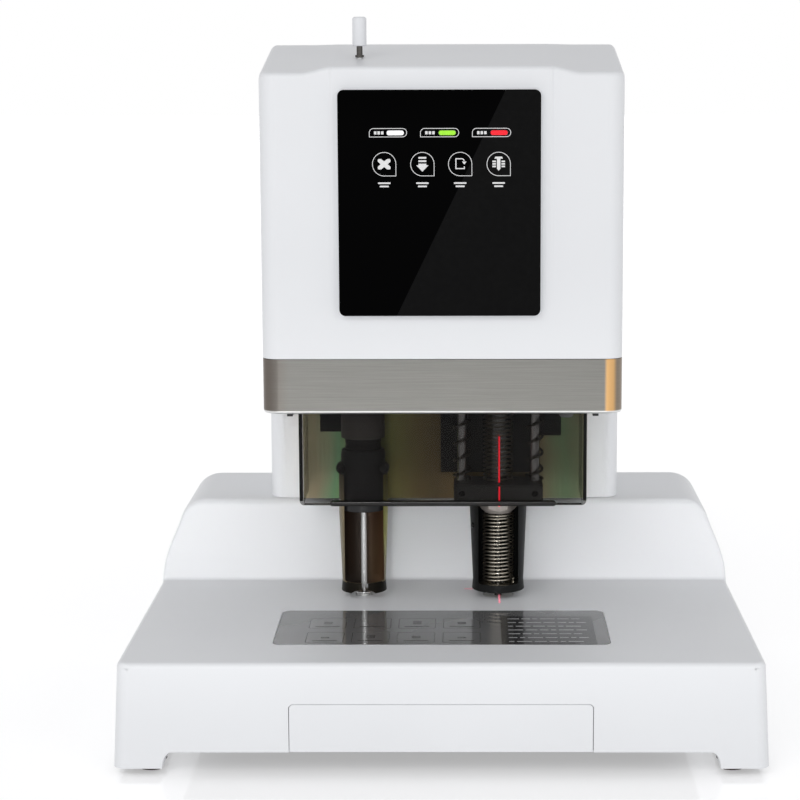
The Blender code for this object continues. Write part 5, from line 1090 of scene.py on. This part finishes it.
def build_panel():
    low, high, (face, _) = face_on("panel_bezel")
    back = HEAD_FRONT_Y - RAISE_PROUD - SEAT
    bezel = pillow("panel_frame", low, high, 0.0048, (face, back), 0.0012, WHITE, 12)
    dress(bezel, "base", "white_plastic", "panel_bezel")
    low, high, (face, back) = face_on("panel_glass")
    glass = pillow("panel_face", low, high, 0.0044, (face, back), SEAT, GLASS, 12)
    windows = []
    for name, material in (("lamp_white", LAMP_WHITE), ("lamp_green", LAMP_GREEN), ("lamp_red", LAMP_RED)):
        low, high, (start, end) = face_on(name)
        radius = (high[1] - low[1]) * 0.49
        dress(pillow(name + "_bar", low, high, radius, (start, end), 0.0002, material), "base", name, name)
        windows.append(slab("window", inset(low, high, -SEAT, radius), start - 0.002, end + 0.002, None, "Y"))
    cut(glass, *windows)
    dress(glass, "base", "black_glass", "panel_glass")

    def lift(x, z, level):
        return (x, face + 0.00001 - 0.00006 * level, z)

    bm = bmesh.new()
    line = 0.00042
    add_lamp_frames(bm, lift, line)
    add_key_marks(bm, lift, line)
    dress(mesh_object("panel_print", bm, INK), "base", "lamp_white")


def build_mat():
    low, high, (bottom, top) = face_on("deck_mat", "Z")
    stages = ((bottom, 0.0), (top - 0.0003, 0.0), (top - 0.0001, 0.0001), (top, 0.0003))
    dress(plate("mat_pane", low, high, 0.006, 12, stages, MAT), "base", "mat_glass", "deck_mat")

    def print_on(name, material, outlines, width=0.0, rise=-0.00001):
        def lift(x, y, level):
            return (x, y, top + rise + 0.00004 * level)

        bm = bmesh.new()
        for outline in outlines:
            if width:
                add_ribbon(bm, outline, width, lift)
            else:
                add_patch(bm, outline, lift)
        dress(mesh_object(name, bm, material), "base", "mat_glass")

    def soft(x0, y0, x1, y1):
        return rounded((x0, y0), (x1, y1), 0.0012, 4)

    wide, tall = 0.0250, 0.0255
    corners = [(-0.0910 + 0.0306 * column, -0.1249 + 0.0364 * row) for column in range(4) for row in range(2)]
    frames = [soft(x, y, x + wide, y + tall) for x, y in corners]
    print_on("mat_frames", MAT_INK, frames, 0.0006)
    marks = []
    for k, (x, y) in enumerate(corners):
        marks.append(soft(x + 0.004, y + 0.0035, x + wide - 0.004, y + 0.0052))
        marks.append(soft(x + 0.0095, y + 0.0105, x + wide - 0.0095, y + 0.0105 + 0.003 * (1 + k % 3)))
    print_on("mat_marks", MAT_INK, marks)
    print_on("mat_block", MAT_BLOCK, [soft(0.0400, -0.1295, 0.1035, -0.0565)])
    lines = []
    for row in range(7):
        x, y, k = 0.0450, -0.1235 + 0.0098 * row, 0
        while x < 0.0960:
            long = 0.0035 + 0.0022 * ((row * 5 + k * 3) % 4)
            lines.append(rectangle(x, y, min(x + long, 0.0985), y + 0.0018))
            x += long + 0.0018
            k += 1
    print_on("mat_rules", MAT_LINE, lines, 0.0, 0.00002)


# head


def head_section(x, draw_corner, draw_edge, skin, floor, fine):
    """One lengthwise section of the head casing at x, front face first."""
    outside = abs(x) - RAISE_HALF_WIDTH
    lift = RAISE_HEIGHT * (1 - smooth_step(outside / RAISE_SHOULDER))
    proud = RAISE_PROUD * (1 - smooth_step(outside / (RAISE_SHOULDER / 8)))
    front = HEAD_FRONT_Y + draw_corner + skin
    rear = HEAD_REAR_Y - draw_corner - skin
    low = HEAD_FRONT_TOP + lift - draw_edge - skin
    high = low + HEAD_CREST * (1 - CREST_SHARE * lift / RAISE_HEIGHT)
    back = high - HEAD_REAR_DROP
    fall = math.atan2(high - low, HEAD_CREST_Y - front)
    points = [(front, floor), (front, RAISE_FADE_Z)]
    upper = low - HEAD_EDGE * math.tan((HALF_PI - fall) / 2)
    steps = 12 if fine else 1
    for k in range(1, steps + 1):
        z = RAISE_FADE_Z + (upper - RAISE_FADE_Z) * k / steps
        points.append((front - proud * smooth_step(k / steps * 1.15), z))
    centre = (front + HEAD_EDGE - proud, upper)
    points += arc(centre, HEAD_EDGE, math.pi, HALF_PI + fall, 12 if fine else 4)[1:]
    slope = math.tan(fall)
    start = (HEAD_CREST_Y - 0.012, high - 0.012 * slope)
    control = (HEAD_CREST_Y - 0.001, high - 0.001 * slope)
    end = (HEAD_CREST_Y + 0.010, high - 0.003 * slope)
    count = 10 if fine else 2
    for k in range(count + 1):
        t = k / count
        weights = ((1 - t) ** 2, 2 * t * (1 - t), t * t)
        points.append(tuple(sum(w * p[i] for w, p in zip(weights, (start, control, end))) for i in (0, 1)))
    rear_edge = HEAD_CORNER - skin
    points += arc((rear - rear_edge, back - rear_edge), rear_edge, HALF_PI, 0, 14 if fine else 5)
    return flat_ring(points + [(rear, floor)], x, "X")


def head_rings(skin, floor, fine):
    half = HEAD_WIDTH / 2 - skin
    corner = HEAD_CORNER - skin
    shoulder = RAISE_HALF_WIDTH + RAISE_SHOULDER
    places = []
    for distance in corner_stations(corner, 16 if fine else 4):
        places.append((-half + distance, corner_inset(distance, corner), corner_inset(distance, HEAD_EDGE)))
    steps = 20 if fine else 6
    places += [(-shoulder + RAISE_SHOULDER * k / steps, 0.0, 0.0) for k in range(steps + 1)]
    if fine:
        step = RAISE_SHOULDER / 8 / 7
        places += [(-RAISE_HALF_WIDTH - step * k - 1e-5, 0.0, 0.0) for k in range(1, 8)]
        places.sort()
        places += [(-RAISE_HALF_WIDTH + 0.012 * k, 0.0, 0.0) for k in range(1, 6)]
    places += [(-x, inset_by, drop) for x, inset_by, drop in reversed(places)]
    return [head_section(x, inset_by, drop, skin, floor, fine) for x, inset_by, drop in places]


def build_head():
    top = HEAD_BOTTOM + BAND_HEIGHT
    shell = loft("head_casing", head_rings(0.0, top + SEAT, True), WHITE, angle=50)
    hollow = loft("hollow", head_rings(HEAD_WALL, top + SEAT - CLEAR, False))
    low, high, (start, end) = face_on("head_back_cover")
    inside, behind = 0.158, 0.170
    opening = slab("opening", inset(low, high, -SEAT, PLATE_CORNER), inside + 0.001, behind, None, "Y")
    needle = rod("needle_hole", 0.0027, 0.44, 0.49, (RIVET_X, AXIS_Y, 0))
    cut(shell, hollow, opening, needle, angle=50)
    dress(shell, "base", "white_plastic", "head_shell")

    half = HEAD_WIDTH / 2
    stages = [(HEAD_BOTTOM, 0.002)] + edge_stages(HEAD_BOTTOM, 0.0015, 6)
    stages += [(top - 0.0003, 0.0), (top - 0.0001, 0.0001), (top, 0.0003), (top, BAND_WALL)]
    corners = ((-half, HEAD_FRONT_Y), (half, HEAD_REAR_Y))
    band = plate("steel_band", *corners, HEAD_CORNER, 16, stages, BAND, closed=True)
    dress(band, "base", "brushed_steel", "head_band")

    stages = ((start, 0.0), (end - 0.0008, 0.0), (end - 0.0003, 0.0002), (end, 0.0008))
    cover = plate("rear_cover", low, high, PLATE_CORNER, 12, stages, WHITE_COVER, "Y")
    cutters = []
    screws = []
    vents_z, vent_pitch, half_width, half_height = 0.351, 0.009, 0.030, 0.002
    for x in (-0.053, 0.053):
        for k in range(-3, 4):
            z = vents_z + k * vent_pitch
            corners = ((x - half_width, z - half_height), (x + half_width, z + half_height))
            cutters.append(slab("vent", rounded(*corners, 0.00195, 6), inside, behind, None, "Y"))
    sunk, rim = 0.1632, 0.008
    sink = ((0, sunk), (0.0030, sunk), (0.0034, behind), (0, behind))
    for x in (low[0] + rim, high[0] - rim):
        for z in (low[1] + rim, high[1] - rim):
            cutters.append(turned("sink", sink, (x, 0, z), None, 40, "Y", 0))
            screws.append(cross_screw("cover_screw", (x, 0.1648, z), 0.0026, 0.0015, 1))
    cut(cover, *cutters)
    dress(cover, "base", "white_plastic", "head_back_cover")
    dress(join("rear_cover_screws", screws), "base", "bright_steel")


def build_column():
    low, high, (bottom, top) = face_on("column_shell", "Z")
    stages = ((bottom, 0.0), (top - 0.0004, 0.0), (top, 0.0004))
    shell = plate("column_casing", low, high, COLUMN_CORNER, 16, stages, WHITE)
    inside = inset(low, high, COLUMN_WALL, COLUMN_CORNER)
    hollow = slab("hollow", inside, bottom - CLEAR, top - COLUMN_WALL)
    half = 0.1036
    gate = box("gate", (-half, low[1] - CLEAR, bottom - CLEAR), (half, high[1] - 0.012, top + CLEAR))
    cut(shell, hollow, gate)
    dress(shell, "base", "white_plastic", "column_shell")


# cover


def build_hinge_pins():
    for node in ("cover_pin_left", "cover_pin_right"):
        low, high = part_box(node)
        start, end = low[0], high[0]
        edge = 0.0004
        radius = (high[2] - low[2]) / 2 - edge
        profile = ((0, start), (radius - edge, start), (radius, start + edge), (radius, end - edge))
        profile += ((radius - edge, end), (0, end))
        pin = turned(node + "_bar", profile, (0, *middle(node)[1:]), WHITE, 40, "X", 0)
        dress(pin, "base", "bright_steel", node)


def build_cover():
    low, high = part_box("clear_cover")
    half, rear, bottom, top = high[0], high[1], low[2], high[2]

    def bend(draw):
        """The right front corner of the cover's plan, drawn in from its outside."""
        radius = COVER_CORNER - draw
        return arc((half - COVER_CORNER, COVER_FRONT_Y + COVER_CORNER), radius, 0, -HALF_PI, 10)

    outer, inner = bend(0.0), bend(COVER_WALL)
    outline = [(half, rear)] + outer + [(-x, y) for x, y in reversed(outer)] + [(-half, rear)]
    outline += [(COVER_WALL - half, rear)] + [(-x, y) for x, y in inner]
    outline += inner[::-1] + [(half - COVER_WALL, rear)]
    cover = slab("clear_guard", outline, bottom, top, SMOKED)
    past, ears_y, ears_z = half + 0.01, -0.005, 0.212
    pin_radius, pin_y, pin_z = 0.0023, -0.011, 0.217
    cutters = [box("trim", (-past, ears_y, ears_z), (past, rear + 0.01, top + 0.01))]
    cutters.append(rod("pins", pin_radius, -past, past, (0, pin_y, pin_z), 40, "X"))
    radius = 0.0035
    for side in (-1, 1):
        edge, centre = side * (half + 0.001), (side * (half - radius), bottom + radius)
        points = [(edge, bottom - 0.001), (centre[0], bottom - 0.001)]
        points += arc(centre, radius, -HALF_PI, (side - 1) * HALF_PI, 8) + [(edge, bottom + radius)]
        cutters.append(slab("round", points, COVER_FRONT_Y - 0.005, 0.0, None, "Y"))
    cut(cover, *cutters)
    bevel(cover, 0.0004, 2)
    dress(cover, "cover", "smoked_plastic", "clear_cover")
    corners = ((-0.080, bottom + 0.0001), (0.080, bottom + 0.0036))
    lip = pillow("cover_lip", *corners, 0.0017, (low[1], COVER_FRONT_Y - 0.00002), 0.0009, SMOKED_EDGE, 8)
    dress(lip, "cover", "smoked_plastic")
    bars = []
    face, wall = COVER_FRONT_Y + 0.0004, COVER_WALL - 0.0003
    for side in (-1, 1):
        x0, x1 = sorted((side * (half - 0.0003), side * (half - wall)))
        ends = ((x0, face, bottom + 0.0030), (x1, COVER_FRONT_Y + wall, 0.2145))
        bars.append(box("side_bar", *ends, SMOKED_SIDE, 0.0003))
    span = half - 0.0036
    ends = ((-span, face, bottom + 0.0003), (span, COVER_FRONT_Y + 0.0022, bottom + 0.0011))
    bars.append(box("low_bar", *ends, SMOKED_EDGE))
    dress(join("cover_edges", bars), "cover", "smoked_plastic")


# tools


def shorten_with_foot(obj):
    """Gives a piece above the press foot a mesh of its own."""
    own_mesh(obj)


def build_drill_guard(axis):
    bottom, top = levels("drill_guard")
    sill, bore = 0.0865, 0.0070
    neck, wide, foot, wall, half = 0.0182, 0.0206, 0.0189, 0.0015, 0.0143
    profile = (
        (bore, sill - 0.003), (foot - wall - 0.0015, bottom + 0.0006), (foot - wall, bottom), (foot, bottom),
        (foot - 0.0002, bottom + 0.0018), (neck + 0.0002, TUBE_NECK_Z - 0.0016), (neck, TUBE_NECK_Z),
        (wide, top), (wide - wall, top), (neck - wall + 0.0001, sill), (bore, sill),
    )
    guard = turned("drill_tube_guard", profile, axis, GUARD_BLACK, 160, edge=0.0004)
    outline = rounded((DRILL_X - half, sill), (DRILL_X + half, top + CLEAR), 0.0012, 6)
    cut(guard, slab("window", outline, AXIS_Y - 0.026, AXIS_Y - 0.0070, None, "Y"))
    # Painted glint: the sill's upward faces are made light steel.
    recolour(guard, SILL_GLINT, lambda face: face.normal.z > 0.9 and abs(face.center.z - sill) < 0.0002)
    dress(guard, "press_foot", "dark_steel", "drill_guard")
    profile = (
        (0, -0.0004), (0.0019, -0.0004), (0.0019, 0.0006), (0.0015, 0.0010), (0.0007, 0.0010),
        (0.0005, 0.0006), (0, 0.0006),
    )
    stud = turned("guard_stud", profile, (0, 0, 0), DARK, 40, "Z", 0.0001)
    turn, reach, height = math.atan2(-0.40, -0.915), 0.0199, 0.1288
    out = Vector((math.cos(turn), math.sin(turn), 0))
    place = (DRILL_X + reach * math.cos(turn), AXIS_Y + reach * math.sin(turn), height)
    stud.data.transform(Matrix.Translation(place) @ out.to_track_quat("Z", "Y").to_matrix().to_4x4())
    dress(stud, "press_foot", "bright_steel")


def build_nut(axis):
    low, high = levels("guard_nut")
    corner = NUT_APOTHEM / math.cos(math.pi / 6)
    nut = slab("hex_nut", arc(axis, corner, 0, 5 * math.pi / 3, 5), low, high, NUT_STEEL)
    wide, foot = corner + 0.0022, low - 0.0003
    profile = ((0, foot), (0.0092, foot), (wide, low + 0.0068), (wide, high + CLEAR), (0, high + CLEAR))
    combine(nut, (turned("chamfer", profile, axis, edge=0),), "INTERSECT")
    cut(nut, rod("bore", 0.0066, 0.13, 0.16, axis))
    bevel(nut, 0.00018, 2, 25)
    dress(nut, "press_foot", "bright_steel", "guard_nut")


def build_foot_block(axis):
    low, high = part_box("foot_block")
    front = low[1]
    block = box("foot_clamp", low, high, GREY, 0.0014, 4)
    bores = [rod("bore", 0.0066, 0.14, 0.17, axis)]
    screws = []
    for x in (DRILL_X - ROD_OFFSET, DRILL_X + ROD_OFFSET):
        bores.append(rod("bore", 0.0039, 0.14, 0.17, (x, AXIS_Y, 0), 48))
        bores.append(rod("sink", 0.0024, front - 0.002, front + 0.0022, (x, 0, CLAMP_SCREW_Z), 40, "Y"))
        screws.append(cross_screw("foot_screw", (x, front + 0.0006, CLAMP_SCREW_Z), 0.0021, 0.0014, -1, DARK))
    cut(block, *bores)
    dress(block, "press_foot", "grey_plastic", "foot_block")
    dress(join("foot_screws", screws), "press_foot", "bright_steel")


def build_drill_tools():
    axis = (DRILL_X, AXIS_Y, 0)
    build_drill_guard(axis)
    build_nut(axis)
    build_foot_block(axis)
    chip = coil("chip_coil", axis, 0.0108, 0.00065, 19, 0.0868, 0.1367, SPRING_STEEL)
    dress(chip, "press_foot", "spring_steel", "chip_spring")
    sides = ((DRILL_X - ROD_OFFSET, "left"), (DRILL_X + ROD_OFFSET, "right"))
    springs = [("main_coil", DRILL_X, 0.0103, 0.0007, 32, COIL_BRONZE, "foot_main_spring")]
    for x, side in sides:
        springs.append((side + "_coil", x, 0.0058, 0.0010, 9, DARK_SPRING, "rod_spring_" + side))
    for name, x, radius, wire, curls, material, node in springs:
        spring = coil(name, (x, AXIS_Y), radius, wire, curls, FOOT_TOP + SEAT, SHELF - SEAT, material)
        dress(spring, "drill_lift", "dark_steel", node)
        shorten_with_foot(spring)
    for x, side in sides:
        node = "guide_rod_" + side
        low, high = levels(node)
        head, shank, neck = 0.0049, 0.0035, low + 0.0022
        profile = ((0, low), (head, low), (head, neck), (shank, neck), (shank, high), (0, high))
        guide = turned(node + "_bar", profile, (x, AXIS_Y, 0), ROD_STEEL, 64)
        dress(guide, "drill_lift", "bright_steel", node)
    low, high = levels("drill_spindle")
    socket, shank = 0.1565, 0.0058
    profile = (
        (0, socket), (0.0028, socket), (0.0028, low), (0.0048, low), (shank, low + 0.0012), (shank, SHELF),
        (0.0085, SHELF), (0.0085, high), (0, high),
    )
    spindle = turned("spindle_bar", profile, axis, BRIGHT, 64)
    flats = []
    for near, far in ((-0.0080, -0.0050), (0.0050, 0.0080)):
        corner = (DRILL_X + far, AXIS_Y + 0.01, 0.1455)
        flats.append(box("flat", (DRILL_X + near, AXIS_Y - 0.01, 0.142), corner))
    cut(spindle, *flats)
    dress(spindle, "spindle", "bright_steel", "drill_spindle")
    low, high = levels("hollow_drill")
    bore, wide = 0.0016, 0.0025
    profile = ((bore, high), (bore, low + 0.0015), (0.0022, low), (wide, low + 0.0006), (wide, high))
    drill = turned("drill_tube", profile, axis, DRILL_STEEL, 64, edge=0.00005)
    dress(drill, "spindle", "bright_steel", "hollow_drill")


def build_laser_light():
    """The laser's red line where it falls on the springs, the foot block, the nut and the deck."""
    half = 0.00055

    def strip(name, outline, lift, material):
        bm = bmesh.new()
        add_patch(bm, outline, lift)
        return mesh_object(name, bm, material)

    def upright(name, low, high, y):
        outline = rectangle(LASER_X - half, low, LASER_X + half, high)
        return strip(name, outline, lambda x, z, level: (x, y - 0.00004 * level, z), LASER)

    above = upright("laser_on_spring", FOOT_TOP + 0.0005, 0.1940, AXIS_Y - 0.0114)
    dress(above, "drill_lift", "lamp_red")
    shorten_with_foot(above)
    low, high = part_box("foot_block")
    block = upright("laser_on_block", low[2] + 0.0010, high[2] - 0.0010, low[1] - 0.00005)
    dress(block, "press_foot", "lamp_red")
    low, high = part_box("guard_nut")
    dress(upright("laser_on_nut", low[2] + 0.0062, high[2], low[1] - 0.00005), "press_foot", "lamp_red")

    def on_deck(x, y, level):
        return (x, y, DECK_HEIGHT + 0.00001 + 0.00003 * level)

    marks = (
        ("laser_on_deck", rectangle(0.0396, -0.0190, 0.0409, 0.0060)),
        ("laser_across", rectangle(0.0150, 0.0224, 0.0212, 0.0240)),
    )
    for name, outline in marks:
        dress(strip(name, outline, on_deck, LASER_GLOW), "base", "lamp_red")


def build_rivet_guard(axis):
    bottom, top = levels("rivet_guard")
    shoulder_z, sill, front = 0.138, 0.0877, AXIS_Y - 0.022
    foot, neck, wide, wall, bore = 0.0163, 0.0157, 0.0176, 0.0010, 0.0162
    profile = (
        (foot - wall, bottom), (foot, bottom), (foot - 0.0001, bottom + 0.0016),
        (neck + 0.0001, TUBE_NECK_Z - 0.0012), (neck, TUBE_NECK_Z), (wide, shoulder_z), (wide, top),
        (bore, top), (bore, shoulder_z), (neck - wall, TUBE_NECK_Z),
    )
    guard = turned("rivet_tube_guard", profile, axis, GUARD_ZINC, 144, edge=0.0003)
    left, right = RIVET_X - 0.0134, RIVET_X + 0.0146
    outline = rounded((left, sill), (right, top + CLEAR), 0.0010, 6)
    window = slab("window", outline, front, AXIS_Y - 0.0030, None, "Y")
    gap = box("gap", (RIVET_X - 0.0010, front, bottom - 0.002), (RIVET_X + 0.0034, AXIS_Y, sill + 0.002))
    notch_half, notch_height = 0.0088, 0.0034
    radius = (notch_half ** 2 + notch_height ** 2) / (2 * notch_height)
    centre = (RIVET_X, 0, bottom + notch_height - radius)
    cut(guard, window, gap, rod("notch", radius, front, AXIS_Y, centre, 96, "Y"))
    bevel(guard, 0.0002, 2, 50)

    def inward(face):
        towards = Vector((RIVET_X - face.center.x, AXIS_Y - face.center.y, 0)).normalized()
        return face.normal.dot(towards) > 0.7

    # Painted shade: the guard's inward faces get the dark inside colour.
    recolour(guard, GUARD_INSIDE_SHADE, inward)
    # Painted shade: the guard's front below the window is made nearly black.
    recolour(guard, GUARD_FOOT_SHADE, lambda face: face.center.z < sill - 0.0003 and face.center.y < AXIS_Y)
    dress(guard, "rivet_head", "zinc_plate", "rivet_guard")


def build_sleeve(axis):
    low, high = levels("rivet_sleeve")
    outer = 0.0159
    profile = ((SLEEVE_BORE, low), (outer, low), (outer, high - 0.003), (0.0150, high), (SLEEVE_BORE, high))
    sleeve = turned("black_sleeve", profile, axis, BLACK, 96, edge=0.0006)
    lugs, holes = [], [rod("inside", SLEEVE_BORE, 0.160, 0.182, axis)]
    lug_offset, lug = 0.0150, 0.0040
    for x in (RIVET_X - lug_offset, RIVET_X + lug_offset):
        place = (x, 0, SLEEVE_SCREW_Z)
        lugs.append(rod("lug", lug, -lug, lug, place, 48, "Y", 0.0004))
        holes.append(rod("hole", 0.0019, -0.008, 0.0023, place, 40, "Y"))
    fuse(sleeve, *lugs)
    cut(sleeve, *holes)
    dress(sleeve, "rivet_head", "black_plastic", "rivet_sleeve")
    for side in ("left", "right"):
        node = "sleeve_screw_" + side
        low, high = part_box(node)
        x = middle(node)[0]
        ends = (high[1], low[1] + 0.0012)
        shank = rod("shank", 0.0016, *ends, (x, 0, SLEEVE_SCREW_Z), 32, "Y", material=DARK)
        head = cross_screw(node + "_head", (x, low[1], SLEEVE_SCREW_Z), 0.0028, 0.0020, -1, DARK)
        dress(join("side_screw_" + side, [head, shank]), "rivet_head", "bright_steel", node)


def build_rivet_tools():
    axis = (RIVET_X, AXIS_Y, 0)
    build_rivet_guard(axis)
    build_sleeve(axis)
    low, high = levels("rivet_cylinder")
    bore, outer, flange, collar_z = 0.0114, 0.0130, 0.0156, 0.1920
    profile = (
        (bore, low), (outer, low), (outer, 0.1862), (0.0124, 0.1866), (0.0124, 0.1874), (outer, 0.1878),
        (outer, collar_z), (flange, collar_z), (flange, high), (bore, high),
    )
    cylinder = turned("punch_cylinder", profile, axis, CYLINDER, 96)

    def outside(face):
        return face.center.z < 0.1921 and (Vector(face.center[:2]) - Vector(axis[:2])).length > 0.0119

    recolour(cylinder, DARK, outside)
    dress(cylinder, "rivet_head", "grey_plastic", "rivet_cylinder")

    low, high = levels("rivet_punch")
    bore, shank, head, head_z = 0.0027, 0.0055, 0.0110, 0.196
    profile = (
        (bore, low), (0.0044, low), (shank, low + 0.0014), (shank, head_z), (head, head_z), (head, high),
        (bore, high),
    )
    dress(turned("hot_punch", profile, axis, BRIGHT, 64), "punch", "bright_steel", "rivet_punch")

    low, high = levels("rivet_needle")
    shaft, ring = 0.0021, 0.0031
    profile = (
        (0, low), (0.0009, low), (0.0012, 0.0816), (shaft, 0.0842), (shaft, 0.4610), (ring, 0.4610),
        (ring, 0.4626), (shaft, 0.4626), (shaft, high), (0, high),
    )
    needle = turned("guide_needle", profile, axis, NEEDLE_STEEL, 48, edge=0.0002)
    recolour(needle, DRILL_STEEL, lambda face: face.center.z > 0.43)
    dress(needle, "needle", "bright_steel", "rivet_needle")

    low, high = levels("needle_knob")
    inner, outer, socket = 0.0024, 0.00495, low + 0.0062
    profile = (
        (0, socket), (inner, socket), (inner, low), (0.00435, low), (outer, low + 0.0006),
        (outer, high - 0.0012), (0.00375, high), (0, high),
    )
    knob = turned("pull_knob", profile, axis, KNOB, 64, edge=0.0006)
    dress(knob, "needle", "white_plastic", "needle_knob")


def build_deck_fittings():
    low, high = levels("drill_pad")
    bore, outer = 0.0035, 0.0107
    profile = (
        (bore, low), (outer, low), (outer, high - 0.0003), (0.0104, high), (0.0039, high),
        (bore, high - 0.0004),
    )
    pad = turned("nylon_pad", profile, (DRILL_X, AXIS_Y, 0), NYLON, 80, edge=0.0001)
    dress(pad, "base", "nylon", "drill_pad")
    low, high = levels("rivet_anvil")
    bore, shank, neck, rim, deck = 0.0026, 0.0057, 0.0050, 0.0070, DECK_HEIGHT + 0.0002
    profile = (
        (bore, low), (shank, low), (shank, deck), (neck, deck), (neck, deck + 0.0010), (rim, high - 0.0006),
        (rim, high), (0.0058, high - 0.0001), (bore, high - 0.0014),
    )
    die = turned("lower_die", profile, (RIVET_X, AXIS_Y, 0), BAND, 80, edge=0.00015)
    dress(die, "base", "bright_steel", "rivet_anvil")
    low, high = levels("laser_module")
    lens, barrel = low + 0.0012, 0.0050
    profile = (
        (0, lens), (0.0022, lens), (0.0026, low), (0.0040, low), (barrel, low + 0.0010), (barrel, high),
        (0, high),
    )
    laser = turned("laser_barrel", profile, (*middle("laser_module")[:2], 0), KNOB, 64)
    dress(laser, "base", "white_plastic", "laser_module")


def build_entry():
    low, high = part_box("power_inlet")
    face, z = high[1], ENTRY_Z
    entry = box("inlet_block", low, high, BLACK, 0.0006)
    socket_x, rocker_x = middle("power_inlet")[0] - 0.0125, middle("power_inlet")[0] + 0.017
    outline = rounded((socket_x - 0.012, z - 0.009), (socket_x + 0.012, z + 0.009), 0.0022, 6)
    socket = slab("socket", outline, face - 0.016, face + CLEAR, None, "Y")
    pivot_y = face - 0.0065
    half = 0.0090
    corner = (rocker_x + 0.0073, face + CLEAR, z + half)
    cut(entry, socket, box("well", (rocker_x - 0.0073, pivot_y - half, z - half), corner))
    dress(entry, "base", "black_plastic", "power_inlet")
    pins = []
    for k, rise in ((-1, -0.002), (0, 0.002), (1, -0.002)):
        x, pin_z = socket_x + k * 0.007, z + rise
        ends = ((x - 0.001, face - 0.0161, pin_z - 0.002), (x + 0.001, face - 0.002, pin_z + 0.002))
        pins.append(box("pin", *ends, POLISHED, 0.0004))
    dress(join("inlet_pins", pins), "base", "bright_steel")

    half = 0.0074

    def dished(b):
        """How far the rocker's face stands out at a height b from its pivot."""
        return 0.0036 + 0.0009 * (b / half) ** 2

    def tilted(a, b):
        cos, sin = math.cos(ROCKER_TILT), math.sin(ROCKER_TILT)
        return (pivot_y + a * cos - b * sin, z + a * sin + b * cos)

    heights = [half * (k / 8 - 1) for k in range(17)]
    outline = [(-0.003, -half)] + [(dished(b), b) for b in heights] + [(-0.003, half)]
    outline = [tilted(a, b) for a, b in outline]
    rocker = slab("switch_rocker", outline, rocker_x - 0.007, rocker_x + 0.007, BLACK, "X")
    bevel(rocker, 0.0004, 2, 60)
    dress(rocker, "rocker", "black_plastic", "power_rocker")

    def lift(x, b, level):
        return (x, *tilted(dished(b) + 0.00001 + 0.00004 * level, b))

    bm = bmesh.new()
    add_patch(bm, rectangle(rocker_x - 0.0003, 0.0030, rocker_x + 0.0003, 0.0058), lift)
    add_ribbon(bm, arc((rocker_x, -0.0043), 0.0013, 0, 2 * math.pi, 24)[:-1], 0.0005, lift)
    dress(mesh_object("rocker_marks", bm, INK), "rocker", "lamp_white")


def dress_inner_nodes():
    """CAD nodes that stay get a real material, and their edges are broken."""
    coarse, fine = 0.0004, 0.0002
    kept = (
        (PLATE, coarse, ("head_frame",)),
        (POST_STEEL, coarse, ("frame_post", "anvil_heater")),
        (BLACK, coarse, ("head_floor", "drill_lift_motor", "rivet_lift_motor")),
        (CAST, coarse, ("drill_carriage", "rivet_carriage")),
        (BRIGHT, coarse, ("drill_rail", "rivet_rail")),
        (SUPPLY, coarse, ("power_supply",)),
        (BOARD, coarse, ("control_board",)),
        (POST_STEEL, fine, ("drill_motor",)),
        (BRIGHT, fine, ("drill_lift_screw", "rivet_lift_screw", "chip_tube")),
    )
    for material, width, nodes in kept:
        for node in nodes:
            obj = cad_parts[node]
            obj.data.materials.clear()
            obj.data.materials.append(material)
            break_edges(obj, width, 2, 30.0)


build_stage()
build_base()
build_drawer()
build_pan()
build_feet()
build_panel()
build_mat()
build_head()
build_column()
build_cover()
build_hinge_pins()
build_drill_tools()
build_laser_light()
build_rivet_tools()
build_deck_fittings()
build_entry()
dress_inner_nodes()
